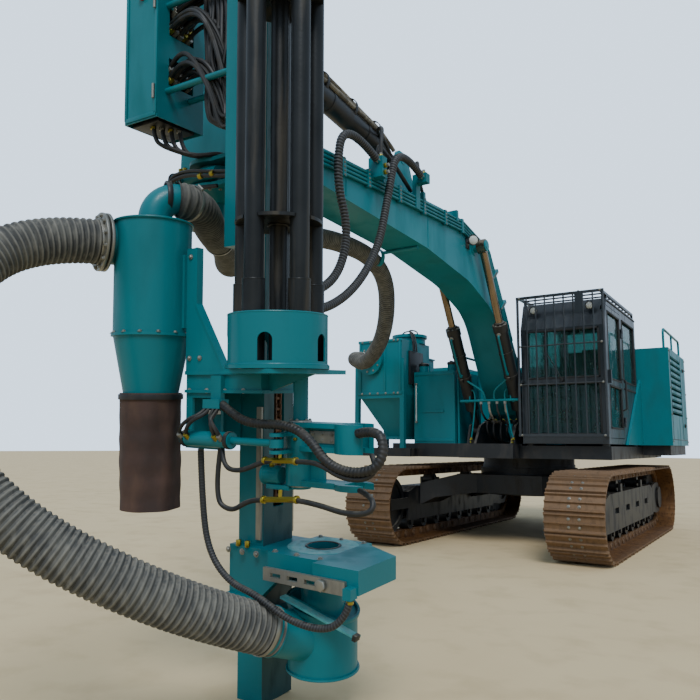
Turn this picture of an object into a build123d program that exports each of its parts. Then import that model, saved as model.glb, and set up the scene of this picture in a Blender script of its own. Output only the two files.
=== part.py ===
"""Down-the-hole drilling rig: an excavator-based carrier on tracks with a boom and a drilling mast.

Millimetres. +Z is up, the machine faces -Y, its left side (the cab side) is +X.
The origin lies on the ground under the slewing centre.
"""

import os
from math import acos, atan2, cos, degrees, hypot, pi, radians, sin, tan

from build123d import *

# Undercarriage
SHOE_WIDTH = 600
TRACK_GAUGE = 2390
TUMBLER_DISTANCE = 3660
TRACK_HEIGHT = 930
SHOE_COUNT = 49
GROUSER = 26
SHOE_THICK = 12
RAIL_HEIGHT = 92
RAIL_WIDTH = 44
RAIL_GAP = 62
FRAME_WIDTH = 250

# Slewing upper
DECK_BOTTOM = 1045
DECK_TOP = 1215
DECK_HALF = 1380
SLEW_RADIUS = 610

# Cab
CAB_X0, CAB_X1 = 405, 1375
CAB_Y0, CAB_Y1 = -1385, 350
CAB_Z0, CAB_Z1 = 1220, 2880
CAB_WALL = 42

# Rear body
BODY_X = 1760
BODY_Y0, BODY_Y1 = 450, 1980
BODY_TOP = 2500

# Boom
BOOM_HALF = 200
FOOT_Y, FOOT_Z = -600, 1640
TIP_Y, TIP_Z = -5950, 3270
LIFT_BASE_Y, LIFT_BASE_Z = -1060, 1380
LIFT_TOP_Y, LIFT_TOP_Z = -2280, 3395
LIFT_X = 296
LIFT_BARREL_R = 78
LIFT_ROD_R = 42
LIFT_PIN_R = 38
TILT_BASE_Y, TILT_BASE_Z = -3750, 3900
TILT_EYE_Y, TILT_EYE_Z = -5950, 4120
TILT_BARREL_R = 92
TILT_ROD_R = 48
TILT_PIN_R = 32
PIPE_R = 13

# Mast, drawn upright in its own frame: a to the drilling side, b rearward, w up from the foot
MAST_FOOT = (870, -6570, 0)
MAST_FORWARD = 4.4
MAST_LEFT = 2.4
BEAM_A, BEAM_B = 150, 220
BEAM_LENGTH = 5800
DRILL_A = 340
DRUM_A, DRUM_B = 362, -366
ROD_CIRCLE = 155
ROD_R = 40
JOINT_R = 46
JOINT_LENGTH = 330
ROD_LENGTH = 3000
ROD_COUNT = 5
DRUM_R = 209
DRUM_W0, DRUM_W1 = 1560, 1767
CYCLONE_A, CYCLONE_B = -380, -393
CYCLONE_R = 178
CYCLONE_TOP = 2245
ARM_A, ARM_B = 405, -262
ARM_TUBE_R = 32
SWING_A, SWING_B = -650, 326
SWING_W = 2690
BOX_A0, BOX_A1 = -931, -670
BOX_B0, BOX_B1 = -139, 202
BOX_W0, BOX_W1 = 2920, 3720
HEAD_W = BEAM_LENGTH - 1040
TABLE_W = 729
GUIDE_BORE_R = 70
DUCT_R = 88
FEED_DUCT_R = 105
LOOP_X = 290

os.makedirs("parts", exist_ok=True)


def block(x0, x1, y0, y1, z0, z1):
    return Pos((x0 + x1) / 2, (y0 + y1) / 2, (z0 + z1) / 2) * Box(x1 - x0, y1 - y0, z1 - z0)


def bar_x(x0, x1, y, z, r):
    return Pos((x0 + x1) / 2, y, z) * Rot(0, 90, 0) * Cylinder(r, x1 - x0)


def bar_y(y0, y1, x, z, r):
    return Pos(x, (y0 + y1) / 2, z) * Rot(90, 0, 0) * Cylinder(r, y1 - y0)


def bar_z(z0, z1, x, y, r):
    return Pos(x, y, (z0 + z1) / 2) * Cylinder(r, z1 - z0)


def bar(p, q, r):
    """A round bar from point p to point q."""
    p, q = Vector(*p), Vector(*q)
    axis = q - p
    return Plane(origin=p, z_dir=axis).location * Cylinder(
        r, axis.length, align=(Align.CENTER, Align.CENTER, Align.MIN)
    )


def prism_x(points, x0, x1):
    """Points are (y, z) pairs."""
    face = make_face(Polyline(*[(x0, y, z) for y, z in points], close=True))
    return extrude(face, x1 - x0, dir=(1, 0, 0))


def prism_y(points, y0, y1):
    """Points are (x, z) pairs."""
    face = make_face(Polyline(*[(x, y0, z) for x, z in points], close=True))
    return extrude(face, y1 - y0, dir=(0, 1, 0))


def prism_z(points, z0, z1):
    """Points are (x, y) pairs."""
    face = make_face(Polyline(*[(x, y, z0) for x, y in points], close=True))
    return extrude(face, z1 - z0, dir=(0, 0, 1))


def fuse(*shapes):
    out = shapes[0]
    for shape in shapes[1:]:
        out = out + shape
    return out


def rounded_x(rows, x0, x1):
    """A prism along X whose corners are (y, z, radius) rows; a radius above 0 rounds its corner."""
    corners = [Vector(x0, y, z) for y, z, r in rows]
    starts, arcs = [], []
    for n, (y, z, r) in enumerate(rows):
        here = corners[n]
        back = (corners[n - 1] - here).normalized()
        ahead = (corners[(n + 1) % len(rows)] - here).normalized()
        if r <= 0:
            starts.append((here, here))
            arcs.append(None)
            continue
        cosine = max(-1.0, min(1.0, back.dot(ahead)))
        half_angle = acos(cosine) / 2
        run = r / tan(half_angle)
        middle = here + (back + ahead).normalized() * (r / sin(half_angle) - r)
        p, q = here + back * run, here + ahead * run
        starts.append((p, q))
        arcs.append(ThreePointArc(p, middle, q))
    edges = []
    for n in range(len(rows)):
        if arcs[n] is not None:
            edges.append(arcs[n])
        p, q = starts[n][1], starts[(n + 1) % len(rows)][0]
        if (q - p).length > 0.01:
            edges.append(Line(p, q))
    return extrude(make_face(edges), x1 - x0, dir=(1, 0, 0))


def turn_radii(points, radius, least):
    """Bend radii for a hanging route: 0.45 of the shorter run over the tangent of half the turn."""
    corners = [Vector(*p) for p in points]
    radii = []
    for n in range(1, len(corners) - 1):
        back, ahead = corners[n] - corners[n - 1], corners[n + 1] - corners[n]
        turn = radians(back.get_angle(ahead))
        best = 0.45 * min(back.length, ahead.length) / tan(turn / 2)
        radii.append(round(max(2 * radius * least, min(best, 2500)), 1))
    return radii


def swept(points, radius, bend):
    """A round pipe along a route; bend is one radius or one for each corner."""
    path = FilletPolyline(*points, radius=bend)
    start = Plane(origin=path @ 0, z_dir=path % 0)
    return sweep(start * Circle(radius), path=path)


def duct(points, outer_r, inner_r, bend):
    """A hollow duct along a route, open at both ends."""
    path = FilletPolyline(*points, radius=bend)
    start = Plane(origin=path @ 0, z_dir=path % 0)
    return sweep(start * (Circle(outer_r) - Circle(inner_r)), path=path)


def offset_route(points, drop):
    """The (y, z) route moved square to itself by drop, towards the boom's inside."""
    moved = []
    for n, (y, z) in enumerate(points):
        turns = []
        for m in (n - 1, n):
            if 0 <= m < len(points) - 1:
                dy, dz = points[m + 1][0] - points[m][0], points[m + 1][1] - points[m][1]
                turns.append(atan2(dz, dy))
        angle = sum(turns) / len(turns)
        reach = drop / cos((turns[-1] - turns[0]) / 2)
        moved.append((y + reach * sin(angle), z - reach * cos(angle)))
    return moved


def solids(*shapes):
    found = []
    for shape in shapes:
        found.extend(shape.solids())
    return Compound(found)


def save(name, shape):
    export_step(shape, f"parts/{name}.step")
    box = shape.bounding_box()
    print(f"{name:22s} solids {len(shape.solids()):3d}  x {box.min.X:8.0f} {box.max.X:8.0f}"
          f"  y {box.min.Y:8.0f} {box.max.Y:8.0f}  z {box.min.Z:8.0f} {box.max.Z:8.0f}")


tilted = Plane(
    origin=MAST_FOOT,
    x_dir=(cos(radians(MAST_LEFT)), 0, -sin(radians(MAST_LEFT))),
    z_dir=(
        sin(radians(MAST_LEFT)) * cos(radians(MAST_FORWARD)),
        -sin(radians(MAST_FORWARD)),
        cos(radians(MAST_LEFT)) * cos(radians(MAST_FORWARD)),
    ),
)


def on_mast(shape):
    return shape.moved(tilted.location)


def mast_point(a, b, w):
    p = tilted.from_local_coords(Vector(a, b, w))
    return (p.X, p.Y, p.Z)


# Undercarriage
half = TUMBLER_DISTANCE / 2
centre_z = TRACK_HEIGHT / 2
track_x = TRACK_GAUGE / 2


def loop_point(s, out):
    """The point at a run s along the loop, standing `out` from the tumblers' centre line."""
    base = TRACK_HEIGHT / 2 - GROUSER
    straight = TUMBLER_DISTANCE
    turn = pi * base
    total = 2 * straight + 2 * turn
    s = s % total
    if s < straight:
        return (-half + s, centre_z + out)
    s -= straight
    if s < turn:
        angle = pi / 2 - s / base
        return (half + out * cos(angle), centre_z + out * sin(angle))
    s -= turn
    if s < straight:
        return (half - s, centre_z - out)
    s -= straight
    angle = -pi / 2 - s / base
    return (-half + out * cos(angle), centre_z + out * sin(angle))


def stadium(out, x0, x1):
    """A solid loop-shaped block of half height `out`."""
    middle = block(x0, x1, -half, half, centre_z - out, centre_z + out)
    return fuse(middle, bar_x(x0, x1, -half, centre_z, out), bar_x(x0, x1, half, centre_z, out))


def track(x):
    base = TRACK_HEIGHT / 2 - GROUSER
    total = 2 * TUMBLER_DISTANCE + 2 * pi * base
    pitch = total / SHOE_COUNT
    # columns: place along the shoe as a share of the pitch, height above the plate
    shoe = [(0.02, 0.0), (0.07, 1.0), (0.12, 1.0), (0.19, 0.0), (0.44, 0.0), (0.48, 0.85),
            (0.53, 0.85), (0.57, 0.0), (0.82, 0.0), (0.87, 1.0), (0.92, 1.0), (0.98, 0.0)]
    points = []
    for n in range(SHOE_COUNT):
        for place, height in shoe:
            points.append(loop_point((n + place) * pitch, base + GROUSER * height))
    outer = prism_x(points, x - SHOE_WIDTH / 2, x + SHOE_WIDTH / 2)
    plate = outer - stadium(base - SHOE_THICK, x - SHOE_WIDTH / 2 - 1, x + SHOE_WIDTH / 2 + 1)
    rail_out = base - SHOE_THICK + 2
    rail_in = base - SHOE_THICK - RAIL_HEIGHT
    for side in (-1, 1):
        inner = x + side * RAIL_GAP / 2
        x0, x1 = sorted((inner, inner + side * RAIL_WIDTH))
        plate += stadium(rail_out, x0, x1) - stadium(rail_in, x0 - 1, x1 + 1)
    return plate


rail_inner = TRACK_HEIGHT / 2 - GROUSER - SHOE_THICK - RAIL_HEIGHT
save("track_left", track(track_x))
save("track_right", track(-track_x))

roller_r, carrier_r, idler_r = 84, 66, rail_inner
wheel_half = RAIL_GAP / 2 + RAIL_WIDTH
rollers = []
for side in (-1, 1):
    x = side * track_x
    for n in range(8):
        y = 500 - half + n * (TUMBLER_DISTANCE - 1000) / 7
        z = centre_z - rail_inner + roller_r
        rollers.append(bar_x(x - wheel_half, x + wheel_half, y, z, roller_r)
                       + bar_x(x - wheel_half - 20, x + wheel_half + 20, y, z, 34))
    for y in (-620, 620):
        z = centre_z + rail_inner - carrier_r
        rollers.append(bar_x(x - wheel_half, x + wheel_half, y, z, carrier_r)
                       + bar_x(x - wheel_half - 20, x + wheel_half + 20, y, z, 26))
    rollers.append(
        bar_x(x - wheel_half, x + wheel_half, -half, centre_z, idler_r)
        - bar_x(x - wheel_half - 1, x - wheel_half + 26, -half, centre_z, idler_r - 60)
        - bar_x(x + wheel_half - 26, x + wheel_half + 1, -half, centre_z, idler_r - 60)
        + bar_x(x - wheel_half - 20, x + wheel_half + 20, -half, centre_z, 70))
save("rollers", solids(*rollers))

sprockets = []
tooth_count = 21
for side in (-1, 1):
    x = side * track_x
    teeth = []
    for n in range(tooth_count):
        for share, radius in ((-0.32, rail_inner - 4), (-0.14, rail_inner + 42),
                              (0.14, rail_inner + 42), (0.32, rail_inner - 4)):
            angle = 2 * pi * (n + share) / tooth_count
            teeth.append((half + radius * cos(angle), centre_z + radius * sin(angle)))
    wheel = prism_x(teeth, x - RAIL_GAP / 2 + 6, x + RAIL_GAP / 2 - 6)
    hub = bar_x(x - wheel_half - 20, x + wheel_half + 20, half, centre_z, 215)
    cap_x = x + side * (wheel_half + 20)
    cap = bar_x(min(cap_x, cap_x + side * 60), max(cap_x, cap_x + side * 60), half, centre_z, 150)
    sprockets.append(wheel + hub + cap)
save("sprockets", solids(*sprockets))

frames = []
for side in (-1, 1):
    x = side * track_x
    profile = [(350 - half, 300), (450 - half, 250), (half - 450, 250), (half - 390, 330), (half - 390, 600),
               (half - 580, 668), (580 - half, 668), (350 - half, 600)]
    frame = prism_x(profile, x - FRAME_WIDTH / 2, x + FRAME_WIDTH / 2)
    # the rollers hang in a slot along the bottom and stand in recesses along the top
    frame -= block(x - wheel_half - 20, x + wheel_half + 20, -1700, 1700, 200, 366)
    for y in (-620, 620):
        frame -= block(x - wheel_half - 20, x + wheel_half + 20, y - 100, y + 100, 620, 700)
        frame += block(x - wheel_half - 50, x - wheel_half - 20, y - 45, y + 45, 600, 760)
        frame += block(x + wheel_half + 20, x + wheel_half + 50, y - 45, y + 45, 600, 760)
    for y in (-900, -300, 300, 900):
        outer = x + side * FRAME_WIDTH / 2
        frame -= block(min(outer, outer - side * 30), max(outer, outer - side * 30),
                       y - 110, y + 110, 430, 500)
    # fork arms to the idler and to the sprocket hub
    for s in (-1, 1):
        x0, x1 = sorted((x + s * (wheel_half + 20), x + s * FRAME_WIDTH / 2))
        frame += block(x0, x1, -half - 100, 430 - half, 400, 530)
        frame += prism_x([(half - 430, 280), (half - 130, 250), (half + 100, 262), (half + 200, 370),
                          (half + 200, 560), (half + 100, 668), (half - 130, 680), (half - 430, 640)], x0, x1)
        frame += block(x0, x1, 350 - half, half - 390, 250, 400)
    frame -= bar_x(x - FRAME_WIDTH, x + FRAME_WIDTH, half, centre_z, 150.3)
    frames.append(frame)
save("track_frames", solids(*frames))

inner_x = track_x - FRAME_WIDTH / 2
plan = [(-inner_x, -1150), (-inner_x, -520), (-560, -330), (-560, 330), (-inner_x, 520),
        (-inner_x, 1150), (-430, 800), (430, 800), (inner_x, 1150), (inner_x, 520),
        (560, 330), (560, -330), (inner_x, -520), (inner_x, -1150), (430, -800), (-430, -800)]
carbody = prism_z(plan, 430, 820)
arch = prism_y([(-inner_x - 5, 425), (-900, 520), (-450, 585), (450, 585), (900, 520),
                (inner_x + 5, 425)], -1300, 1300)
top_cut = prism_y([(-inner_x - 5, 830), (-inner_x - 5, 700), (-640, 821), (-640, 830)], -1300, 1300)
carbody = carbody - arch - top_cut - mirror(top_cut, Plane.YZ)
carbody += bar_z(560, 905, 0, 0, 640) - bar_z(550, 910, 0, 0, 420)
carbody += bar_z(905, 945, 0, 0, SLEW_RADIUS) - bar_z(900, 950, 0, 0, 430)
save("carbody", carbody)

# Slewing upper
deck = prism_z([(-DECK_HALF, -1330), (-340, -1330), (-340, -1560), (340, -1560), (340, -1330),
                (DECK_HALF, -1330), (DECK_HALF, 1980), (700, 2300), (-700, 2300), (-DECK_HALF, 1980)],
               DECK_BOTTOM, DECK_TOP)
deck -= block(370, 1440, -1400, 400, DECK_TOP - 20, DECK_TOP + 5)
for x in (CAB_X0 + 60, CAB_X1 - 60):
    for y in (CAB_Y0 + 90, CAB_Y1 - 60):
        deck += bar_z(DECK_TOP - 20, CAB_Z0, x, y, 45)
deck += bar_z(945.3, DECK_BOTTOM, 0, 0, SLEW_RADIUS - 10)
# boom foot brackets, with feet for the lift cylinders
for side in (-1, 1):
    x0, x1 = sorted((side * 215, side * 245))
    deck += rounded_x([(LIFT_BASE_Y - 260, DECK_TOP - 5, 0), (LIFT_BASE_Y - 90, LIFT_BASE_Z + 60, 60),
                       (LIFT_BASE_Y + 20, LIFT_BASE_Z + 95, 60), (FOOT_Y - 190, FOOT_Z - 100, 90),
                       (FOOT_Y - 130, FOOT_Z + 140, 110), (FOOT_Y + 110, FOOT_Z + 140, 110),
                       (FOOT_Y + 190, FOOT_Z - 40, 90), (FOOT_Y + 620, DECK_TOP - 5, 0)], x0, x1)
    x0, x1 = sorted((side * 347, side * 375))
    deck += rounded_x([(LIFT_BASE_Y - 170, DECK_TOP - 5, 0), (LIFT_BASE_Y - 85, LIFT_BASE_Z + 85, 70),
                       (LIFT_BASE_Y + 85, LIFT_BASE_Z + 85, 70), (LIFT_BASE_Y + 170, DECK_TOP - 5, 0)], x0, x1)
    deck += bar_x(min(side * 210, side * 379), max(side * 210, side * 379), LIFT_BASE_Y, LIFT_BASE_Z, 34)
deck += bar_x(-244, 244, FOOT_Y, FOOT_Z, 45)
# manifold bar across the boom's foot, for the pipes and hoses that hang there
deck += bar_x(-240, 240, LIFT_BASE_Y + 100, LIFT_BASE_Z + 105, 22)
# right front extension that carries the dust collector
deck += block(-1800, -DECK_HALF, -1560, -700, DECK_BOTTOM, DECK_TOP - 65)
deck += block(-1800, -1000, -1560, -1330, DECK_BOTTOM, DECK_TOP - 65)
for side in (-1, 1):
    x0, x1 = sorted((side * DECK_HALF, side * (BODY_X - 40)))
    deck += block(x0, x1, BODY_Y0 + 60, BODY_Y1 - 40, DECK_BOTTOM + 40, DECK_TOP)
save("platform", deck)

# Cab: shell with its front, side, rear and roof windows cut, and a door on the left
outer = prism_x([(CAB_Y0, CAB_Z0), (CAB_Y0, 2560), (CAB_Y0 + 120, CAB_Z1), (CAB_Y1, CAB_Z1),
                 (CAB_Y1, CAB_Z0)], CAB_X0, CAB_X1)
inner = prism_x([(CAB_Y0 + CAB_WALL, CAB_Z0 + CAB_WALL), (CAB_Y0 + CAB_WALL, 2545),
                 (CAB_Y0 + 120 + CAB_WALL, CAB_Z1 - CAB_WALL),
                 (CAB_Y1 - CAB_WALL, CAB_Z1 - CAB_WALL), (CAB_Y1 - CAB_WALL, CAB_Z0 + CAB_WALL)],
                CAB_X0 + CAB_WALL, CAB_X1 - CAB_WALL)
cab = outer - inner
DOOR_Y0, DOOR_Y1 = -1310, -560
DOOR_Z0, DOOR_Z1 = 1290, 2790
cab -= block(CAB_X1 - 60, CAB_X1 + 5, DOOR_Y0 - 6, DOOR_Y1 + 6, DOOR_Z0 - 6, DOOR_Z1 + 6)
cab_windows = [
    block(CAB_X0 + 75, CAB_X1 - 75, CAB_Y0 - 5, CAB_Y0 + 60, 1330, 1905),
    block(CAB_X0 + 75, CAB_X1 - 75, CAB_Y0 - 5, CAB_Y0 + 60, 1975, 2530),
    block(CAB_X1 - 60, CAB_X1 + 5, -470, 250, 1980, 2740),
    block(CAB_X0 - 5, CAB_X0 + 60, -1180, -520, 1750, 2740),
    block(CAB_X0 - 5, CAB_X0 + 60, -430, 250, 1980, 2740),
    block(CAB_X0 + 90, CAB_X1 - 90, CAB_Y1 - 60, CAB_Y1 + 5, 1980, 2740),
]
for window in cab_windows:
    cab -= window
HINGE_X, HINGE_Y, HINGE_R = CAB_X1 + 15, DOOR_Y1 + 2, 8
for z in (1480, 2560):
    cab += block(CAB_X1, CAB_X1 + 24, HINGE_Y + 4, HINGE_Y + 45, z, z + 58)
    cab += bar_z(z, z + 58, HINGE_X, HINGE_Y, 14) + bar_z(z - 58, z + 2, HINGE_X, HINGE_Y, HINGE_R)
save("cab_shell", cab)

door = block(CAB_X1 - 40, CAB_X1, DOOR_Y0, DOOR_Y1, DOOR_Z0, DOOR_Z1)
door -= block(CAB_X1 - 60, CAB_X1 + 5, DOOR_Y0 + 60, DOOR_Y1 - 60, 1960, DOOR_Z1 - 60)
door -= block(CAB_X1 - 60, CAB_X1 + 5, DOOR_Y0 + 60, DOOR_Y1 - 60, 1400, 1880)
door += block(CAB_X1, CAB_X1 + 30, DOOR_Y0 + 20, DOOR_Y0 + 50, 1900, 2050)
for z in (1480, 2560):
    door += block(CAB_X1, CAB_X1 + 24, HINGE_Y - 45, HINGE_Y - 4, z - 58, z - 0.3)
    door += bar_z(z - 58, z - 0.3, HINGE_X, HINGE_Y, 14) - bar_z(z - 60, z, HINGE_X, HINGE_Y, HINGE_R + 0.05)
    door -= bar_z(z - 60, z, HINGE_X, HINGE_Y, HINGE_R + 0.05)
save("cab_door", door)

GLASS = 6
glass = [
    block(CAB_X0 + 75, CAB_X1 - 75, CAB_Y0 + 14, CAB_Y0 + 14 + GLASS, 1330, 1905),
    block(CAB_X0 + 75, CAB_X1 - 75, CAB_Y0 + 14, CAB_Y0 + 14 + GLASS, 1975, 2530),
    block(CAB_X1 - 26, CAB_X1 - 26 + GLASS, -470, 250, 1980, 2740),
    block(CAB_X0 + 20, CAB_X0 + 20 + GLASS, -1180, -520, 1750, 2740),
    block(CAB_X0 + 20, CAB_X0 + 20 + GLASS, -430, 250, 1980, 2740),
    block(CAB_X0 + 90, CAB_X1 - 90, CAB_Y1 - 26, CAB_Y1 - 26 + GLASS, 1980, 2740),
]
save("cab_glass", solids(*glass))
door_glass = [
    block(CAB_X1 - 24, CAB_X1 - 24 + GLASS, DOOR_Y0 + 60, DOOR_Y1 - 60, 1960, DOOR_Z1 - 60),
    block(CAB_X1 - 24, CAB_X1 - 24 + GLASS, DOOR_Y0 + 60, DOOR_Y1 - 60, 1400, 1880),
]
save("door_glass", solids(*door_glass))

guard_y = CAB_Y0 - 90
guard = block(CAB_X0 - 20, CAB_X1 + 20, guard_y, guard_y + 30, 1300, 1330)
guard += block(CAB_X0 - 20, CAB_X1 + 20, guard_y, guard_y + 30, 2920, 2950)
for n in range(10):
    x = CAB_X0 - 5 + n * (CAB_X1 - CAB_X0 + 10) / 9
    r = 16 if n in (0, 9) else 9
    guard += bar_z(1310, 2930, x, guard_y + 15, r)
for z in (1900, 2350):
    guard += bar_x(CAB_X0 - 10, CAB_X1 + 10, guard_y + 15, z, 8)
for x in (CAB_X0 + 15, CAB_X1 - 15):
    for z in (1312, 1940):
        guard += block(x - 15, x + 15, guard_y + 25, CAB_Y0, z - 12, z + 12)
    guard += block(x - 15, x + 15, guard_y + 25, CAB_Y1 - 60, 2920, 2950)
    for y in (CAB_Y0 + 150, CAB_Y1 - 90):
        guard += block(x - 15, x + 15, y, y + 30, CAB_Z1, 2920)
for n in range(9):
    y = CAB_Y0 + 115 + n * 190
    guard += bar_x(CAB_X0 + 15, CAB_X1 - 15, y, 2935, 10)
save("cab_guard", guard)

seat_x = (CAB_X0 + CAB_X1) / 2
seat = block(seat_x - 240, seat_x + 240, -650, -150, 1650, 1780)
seat += block(seat_x - 230, seat_x + 230, -220, -90, 1780, 2400)
seat += block(seat_x - 150, seat_x + 150, -560, -240, CAB_Z0 + CAB_WALL, 1650)
for s in (-1, 1):
    x = seat_x + s * 320
    seat += block(x - 80, x + 80, -800, -200, 1560, 1820)
    seat += block(min(x, seat_x), max(x, seat_x), -500, -300, 1500, 1560)
    seat += bar_z(1820, 1960, x, -700, 16) + Pos(x, -700, 1975) * Sphere(30)
seat += block(seat_x + 230, seat_x + 300, -1180, -1130, CAB_Z0 + CAB_WALL, 2150)
seat += block(seat_x + 180, seat_x + 380, -1200, -1110, 2100, 2300)
seat += block(seat_x - 60, seat_x + 300, -1180, -560, CAB_Z0 + CAB_WALL, CAB_Z0 + CAB_WALL + 20)
save("cab_interior", seat)

# Rear body: left module with a louvred side, engine hood, counterweight
left_body = block(420, BODY_X, BODY_Y0, BODY_Y1, DECK_TOP, BODY_TOP)
left_body -= block(480, BODY_X - 40, BODY_Y0 + 40, BODY_Y1 - 40, DECK_TOP - 1, BODY_TOP - 40)
for n in range(10):
    z = 1620 + n * 82
    left_body -= block(BODY_X - 60, BODY_X + 5, BODY_Y0 + 120, BODY_Y1 - 500, z, z + 46)
fairing = prism_x([(-540, DECK_TOP), (BODY_Y0, DECK_TOP), (BODY_Y0, 2080), (330, 2000)],
                  DECK_HALF - 3, DECK_HALF + 27)
left_body += fairing
save("left_body", left_body)

right_body = block(-BODY_X, -1210, BODY_Y0, BODY_Y1, DECK_TOP, BODY_TOP - 100)
right_body -= block(-BODY_X + 40, -1250, BODY_Y0 + 40, BODY_Y1 - 40, DECK_TOP - 1, BODY_TOP - 140)
for n in range(9):
    z = 1560 + n * 82
    right_body -= block(-BODY_X - 5, -BODY_X + 60, BODY_Y0 + 160, BODY_Y1 - 300, z, z + 46)
save("right_body", right_body)

hood = block(-1200, 410, 380, BODY_Y1, DECK_TOP, 2300)
hood -= block(-1150, 360, 430, BODY_Y1 - 50, DECK_TOP - 1, 2250)
hood += block(-950, 200, 700, 1500, 2300, 2360)
hood += bar_z(2360, 2620, -700, 1350, 75) - bar_z(2400, 2625, -700, 1350, 62)
save("engine_hood", hood)

save("engine_block", block(-800, 200, 700, 1500, DECK_TOP, 2100))

weight = prism_z([(-DECK_HALF, BODY_Y1 + 5), (-DECK_HALF, 2180), (-1150, 2480), (-600, 2640), (600, 2640),
                  (1150, 2480), (DECK_HALF, 2180), (DECK_HALF, BODY_Y1 + 5)], DECK_BOTTOM + 60, 2180)
weight -= prism_z([(-DECK_HALF - 5, BODY_Y1 - 5), (-DECK_HALF - 5, BODY_Y1 + 6), (-700, 2310), (700, 2310),
                   (DECK_HALF + 5, BODY_Y1 + 6), (DECK_HALF + 5, BODY_Y1 - 5)], DECK_BOTTOM, DECK_TOP)
# two upright lifting lugs on its top
for s in (-1, 1):
    lug = block(s * 900 - 90, s * 900 + 90, 2225, 2275, 2180, 2230) + bar_y(2225, 2275, s * 900, 2245, 72)
    weight += lug - bar_y(2220, 2280, s * 900, 2245, 34)
save("counterweight", weight)

# Tank beside the boom on the right, with two filler necks
tank = block(-1075, -500, -1300, -480, DECK_TOP, 2140)
for x in (-990, -580):
    tank += bar_z(2140, 2230, x, -1180, 62)
tank += block(-950, -650, -1312, -1300, 1610, 1640)
save("tank", tank)

# Dust collector: bin on a hopper, round lid, inlet in the front
collector = block(-1760, -1110, -1580, -780, 1840, 2560)
hopper = loft([
    Plane(origin=(-1435, -1180, 1840)) * Rectangle(650, 800),
    Plane(origin=(-1330, -1180, 1300)) * Rectangle(260, 300),
])
collector += hopper
collector += block(-1480, -1180, -1350, -1010, 1262, 1300)
collector += bar_z(2560, 2660, -1300, -1000, 215) + bar_z(2640, 2680, -1300, -1000, 240)
collector += block(-1720, -1170, -785, -520, 1500, 2380) + block(-1735, -1155, -785, -505, 2380, 2400)
inlet_x, inlet_z = -1570, 2290
collector += bar_y(-1640, -1580, inlet_x, inlet_z, 190)
collector += bar_y(-1760, -1630, inlet_x, inlet_z, DUCT_R - 4.3) \
    - bar_y(-1765, -1600, inlet_x, inlet_z, DUCT_R - 10)
for x, y, foot in ((-1790, -1550, DECK_TOP - 65), (-1110, -1550, DECK_TOP - 65),
                   (-1790, -790, DECK_TOP - 65), (-1110, -790, DECK_TOP)):
    collector += block(x - 30, x + 30, y - 30, y + 30, foot, 2300)
collector += block(-1760, -1110, -1580, -1520, 1790, 1840) + block(-1760, -1110, -840, -780, 1790, 1840)
for y in (-1550, -790):
    collector += block(-1800, -1085, y - 28, y + 28, 1800, 1850)
save("dust_collector", collector)

rails = []
for y0, y1, x in ((BODY_Y0 + 60, BODY_Y1 - 60, BODY_X - 60),):
    rails.append(swept([(x, y0, BODY_TOP), (x, y0, BODY_TOP + 260), (x, y1, BODY_TOP + 260),
                        (x, y1, BODY_TOP)], 16, 60))
    rails[-1] += bar_z(BODY_TOP, BODY_TOP + 260, x, (y0 + y1) / 2, 14)
rails.append(swept([(-470, -1250, DECK_TOP), (-470, -1250, 2330), (-470, -560, 2330),
                    (-470, -560, DECK_TOP)], 16, 60))
save("handrails", solids(*rails))

mirrors = block(1090, 1180, guard_y - 62, guard_y - 52, 2690, 2925)
mirrors += bar_y(guard_y - 52, guard_y, 1135, 2935, 9) \
    + block(1126, 1144, guard_y - 62, guard_y - 52, 2920, 2944)
save("mirror", mirrors)

# Boom: one curved box, its outline in (y, z, corner radius) rows along the top and back along the underside
boom_rows = [
    (TIP_Y, TIP_Z + 112, 0), (-4550, 3490, 2600), (-2620, 3635, 1500), (LIFT_TOP_Y + 440, 3500, 330),
    (-1270, 2700, 1500), (-470, 1740, 60), (-780, 1560, 60), (-1150, 1920, 500), (-1680, 2740, 700),
    (-2420, 2975, 1200), (-3450, 3095, 1500), (TIP_Y, TIP_Z - 110, 0),
]
boom = rounded_x(boom_rows, -BOOM_HALF, BOOM_HALF)
boom += bar_x(-BOOM_HALF, BOOM_HALF, FOOT_Y, FOOT_Z, 130)
boom += bar_x(-BOOM_HALF, BOOM_HALF, TIP_Y, TIP_Z, 115)
# round bosses at the lift pin, with the pin's washers on both sides of the rod's eye
boom += bar_x(-BOOM_HALF - 8, BOOM_HALF + 8, LIFT_TOP_Y, LIFT_TOP_Z, 92)
boom += bar_x(-LIFT_X - 62, LIFT_X + 62, LIFT_TOP_Y, LIFT_TOP_Z, LIFT_PIN_R)
for s in (-1, 1):
    for x0, x1 in ((BOOM_HALF + 8, LIFT_X - 46), (LIFT_X + 46, LIFT_X + 58)):
        boom += bar_x(min(s * x0, s * x1), max(s * x0, s * x1), LIFT_TOP_Y, LIFT_TOP_Z, 62)
boom -= bar_x(-BOOM_HALF - 5, BOOM_HALF + 5, FOOT_Y, FOOT_Z, 45.05)
boom -= bar_x(-BOOM_HALF - 5, BOOM_HALF + 5, TIP_Y, TIP_Z, 40.05)
# bracket of the tilt cylinder on the boom's back
for s in (-1, 1):
    x0, x1 = sorted((s * 60, s * 90))
    boom += rounded_x([(TILT_BASE_Y - 330, 3480, 0), (TILT_BASE_Y - 90, TILT_BASE_Z + 85, 70),
                       (TILT_BASE_Y + 90, TILT_BASE_Z + 85, 70), (TILT_BASE_Y + 330, 3510, 0)], x0, x1)
boom += bar_x(-95, 95, TILT_BASE_Y, TILT_BASE_Z, 32)
# bar under the boom with a ring that carries the dust duct
DUCT_X = -BOOM_HALF - DUCT_R - 42
boom += bar_x(DUCT_X + DUCT_R + 5, 150, -3560, 3082, 18)
boom += bar_y(-3585, -3535, DUCT_X, 3045, DUCT_R + 14) - bar_y(-3590, -3530, DUCT_X, 3045, DUCT_R + 0.3)
save("boom", boom)

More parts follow.
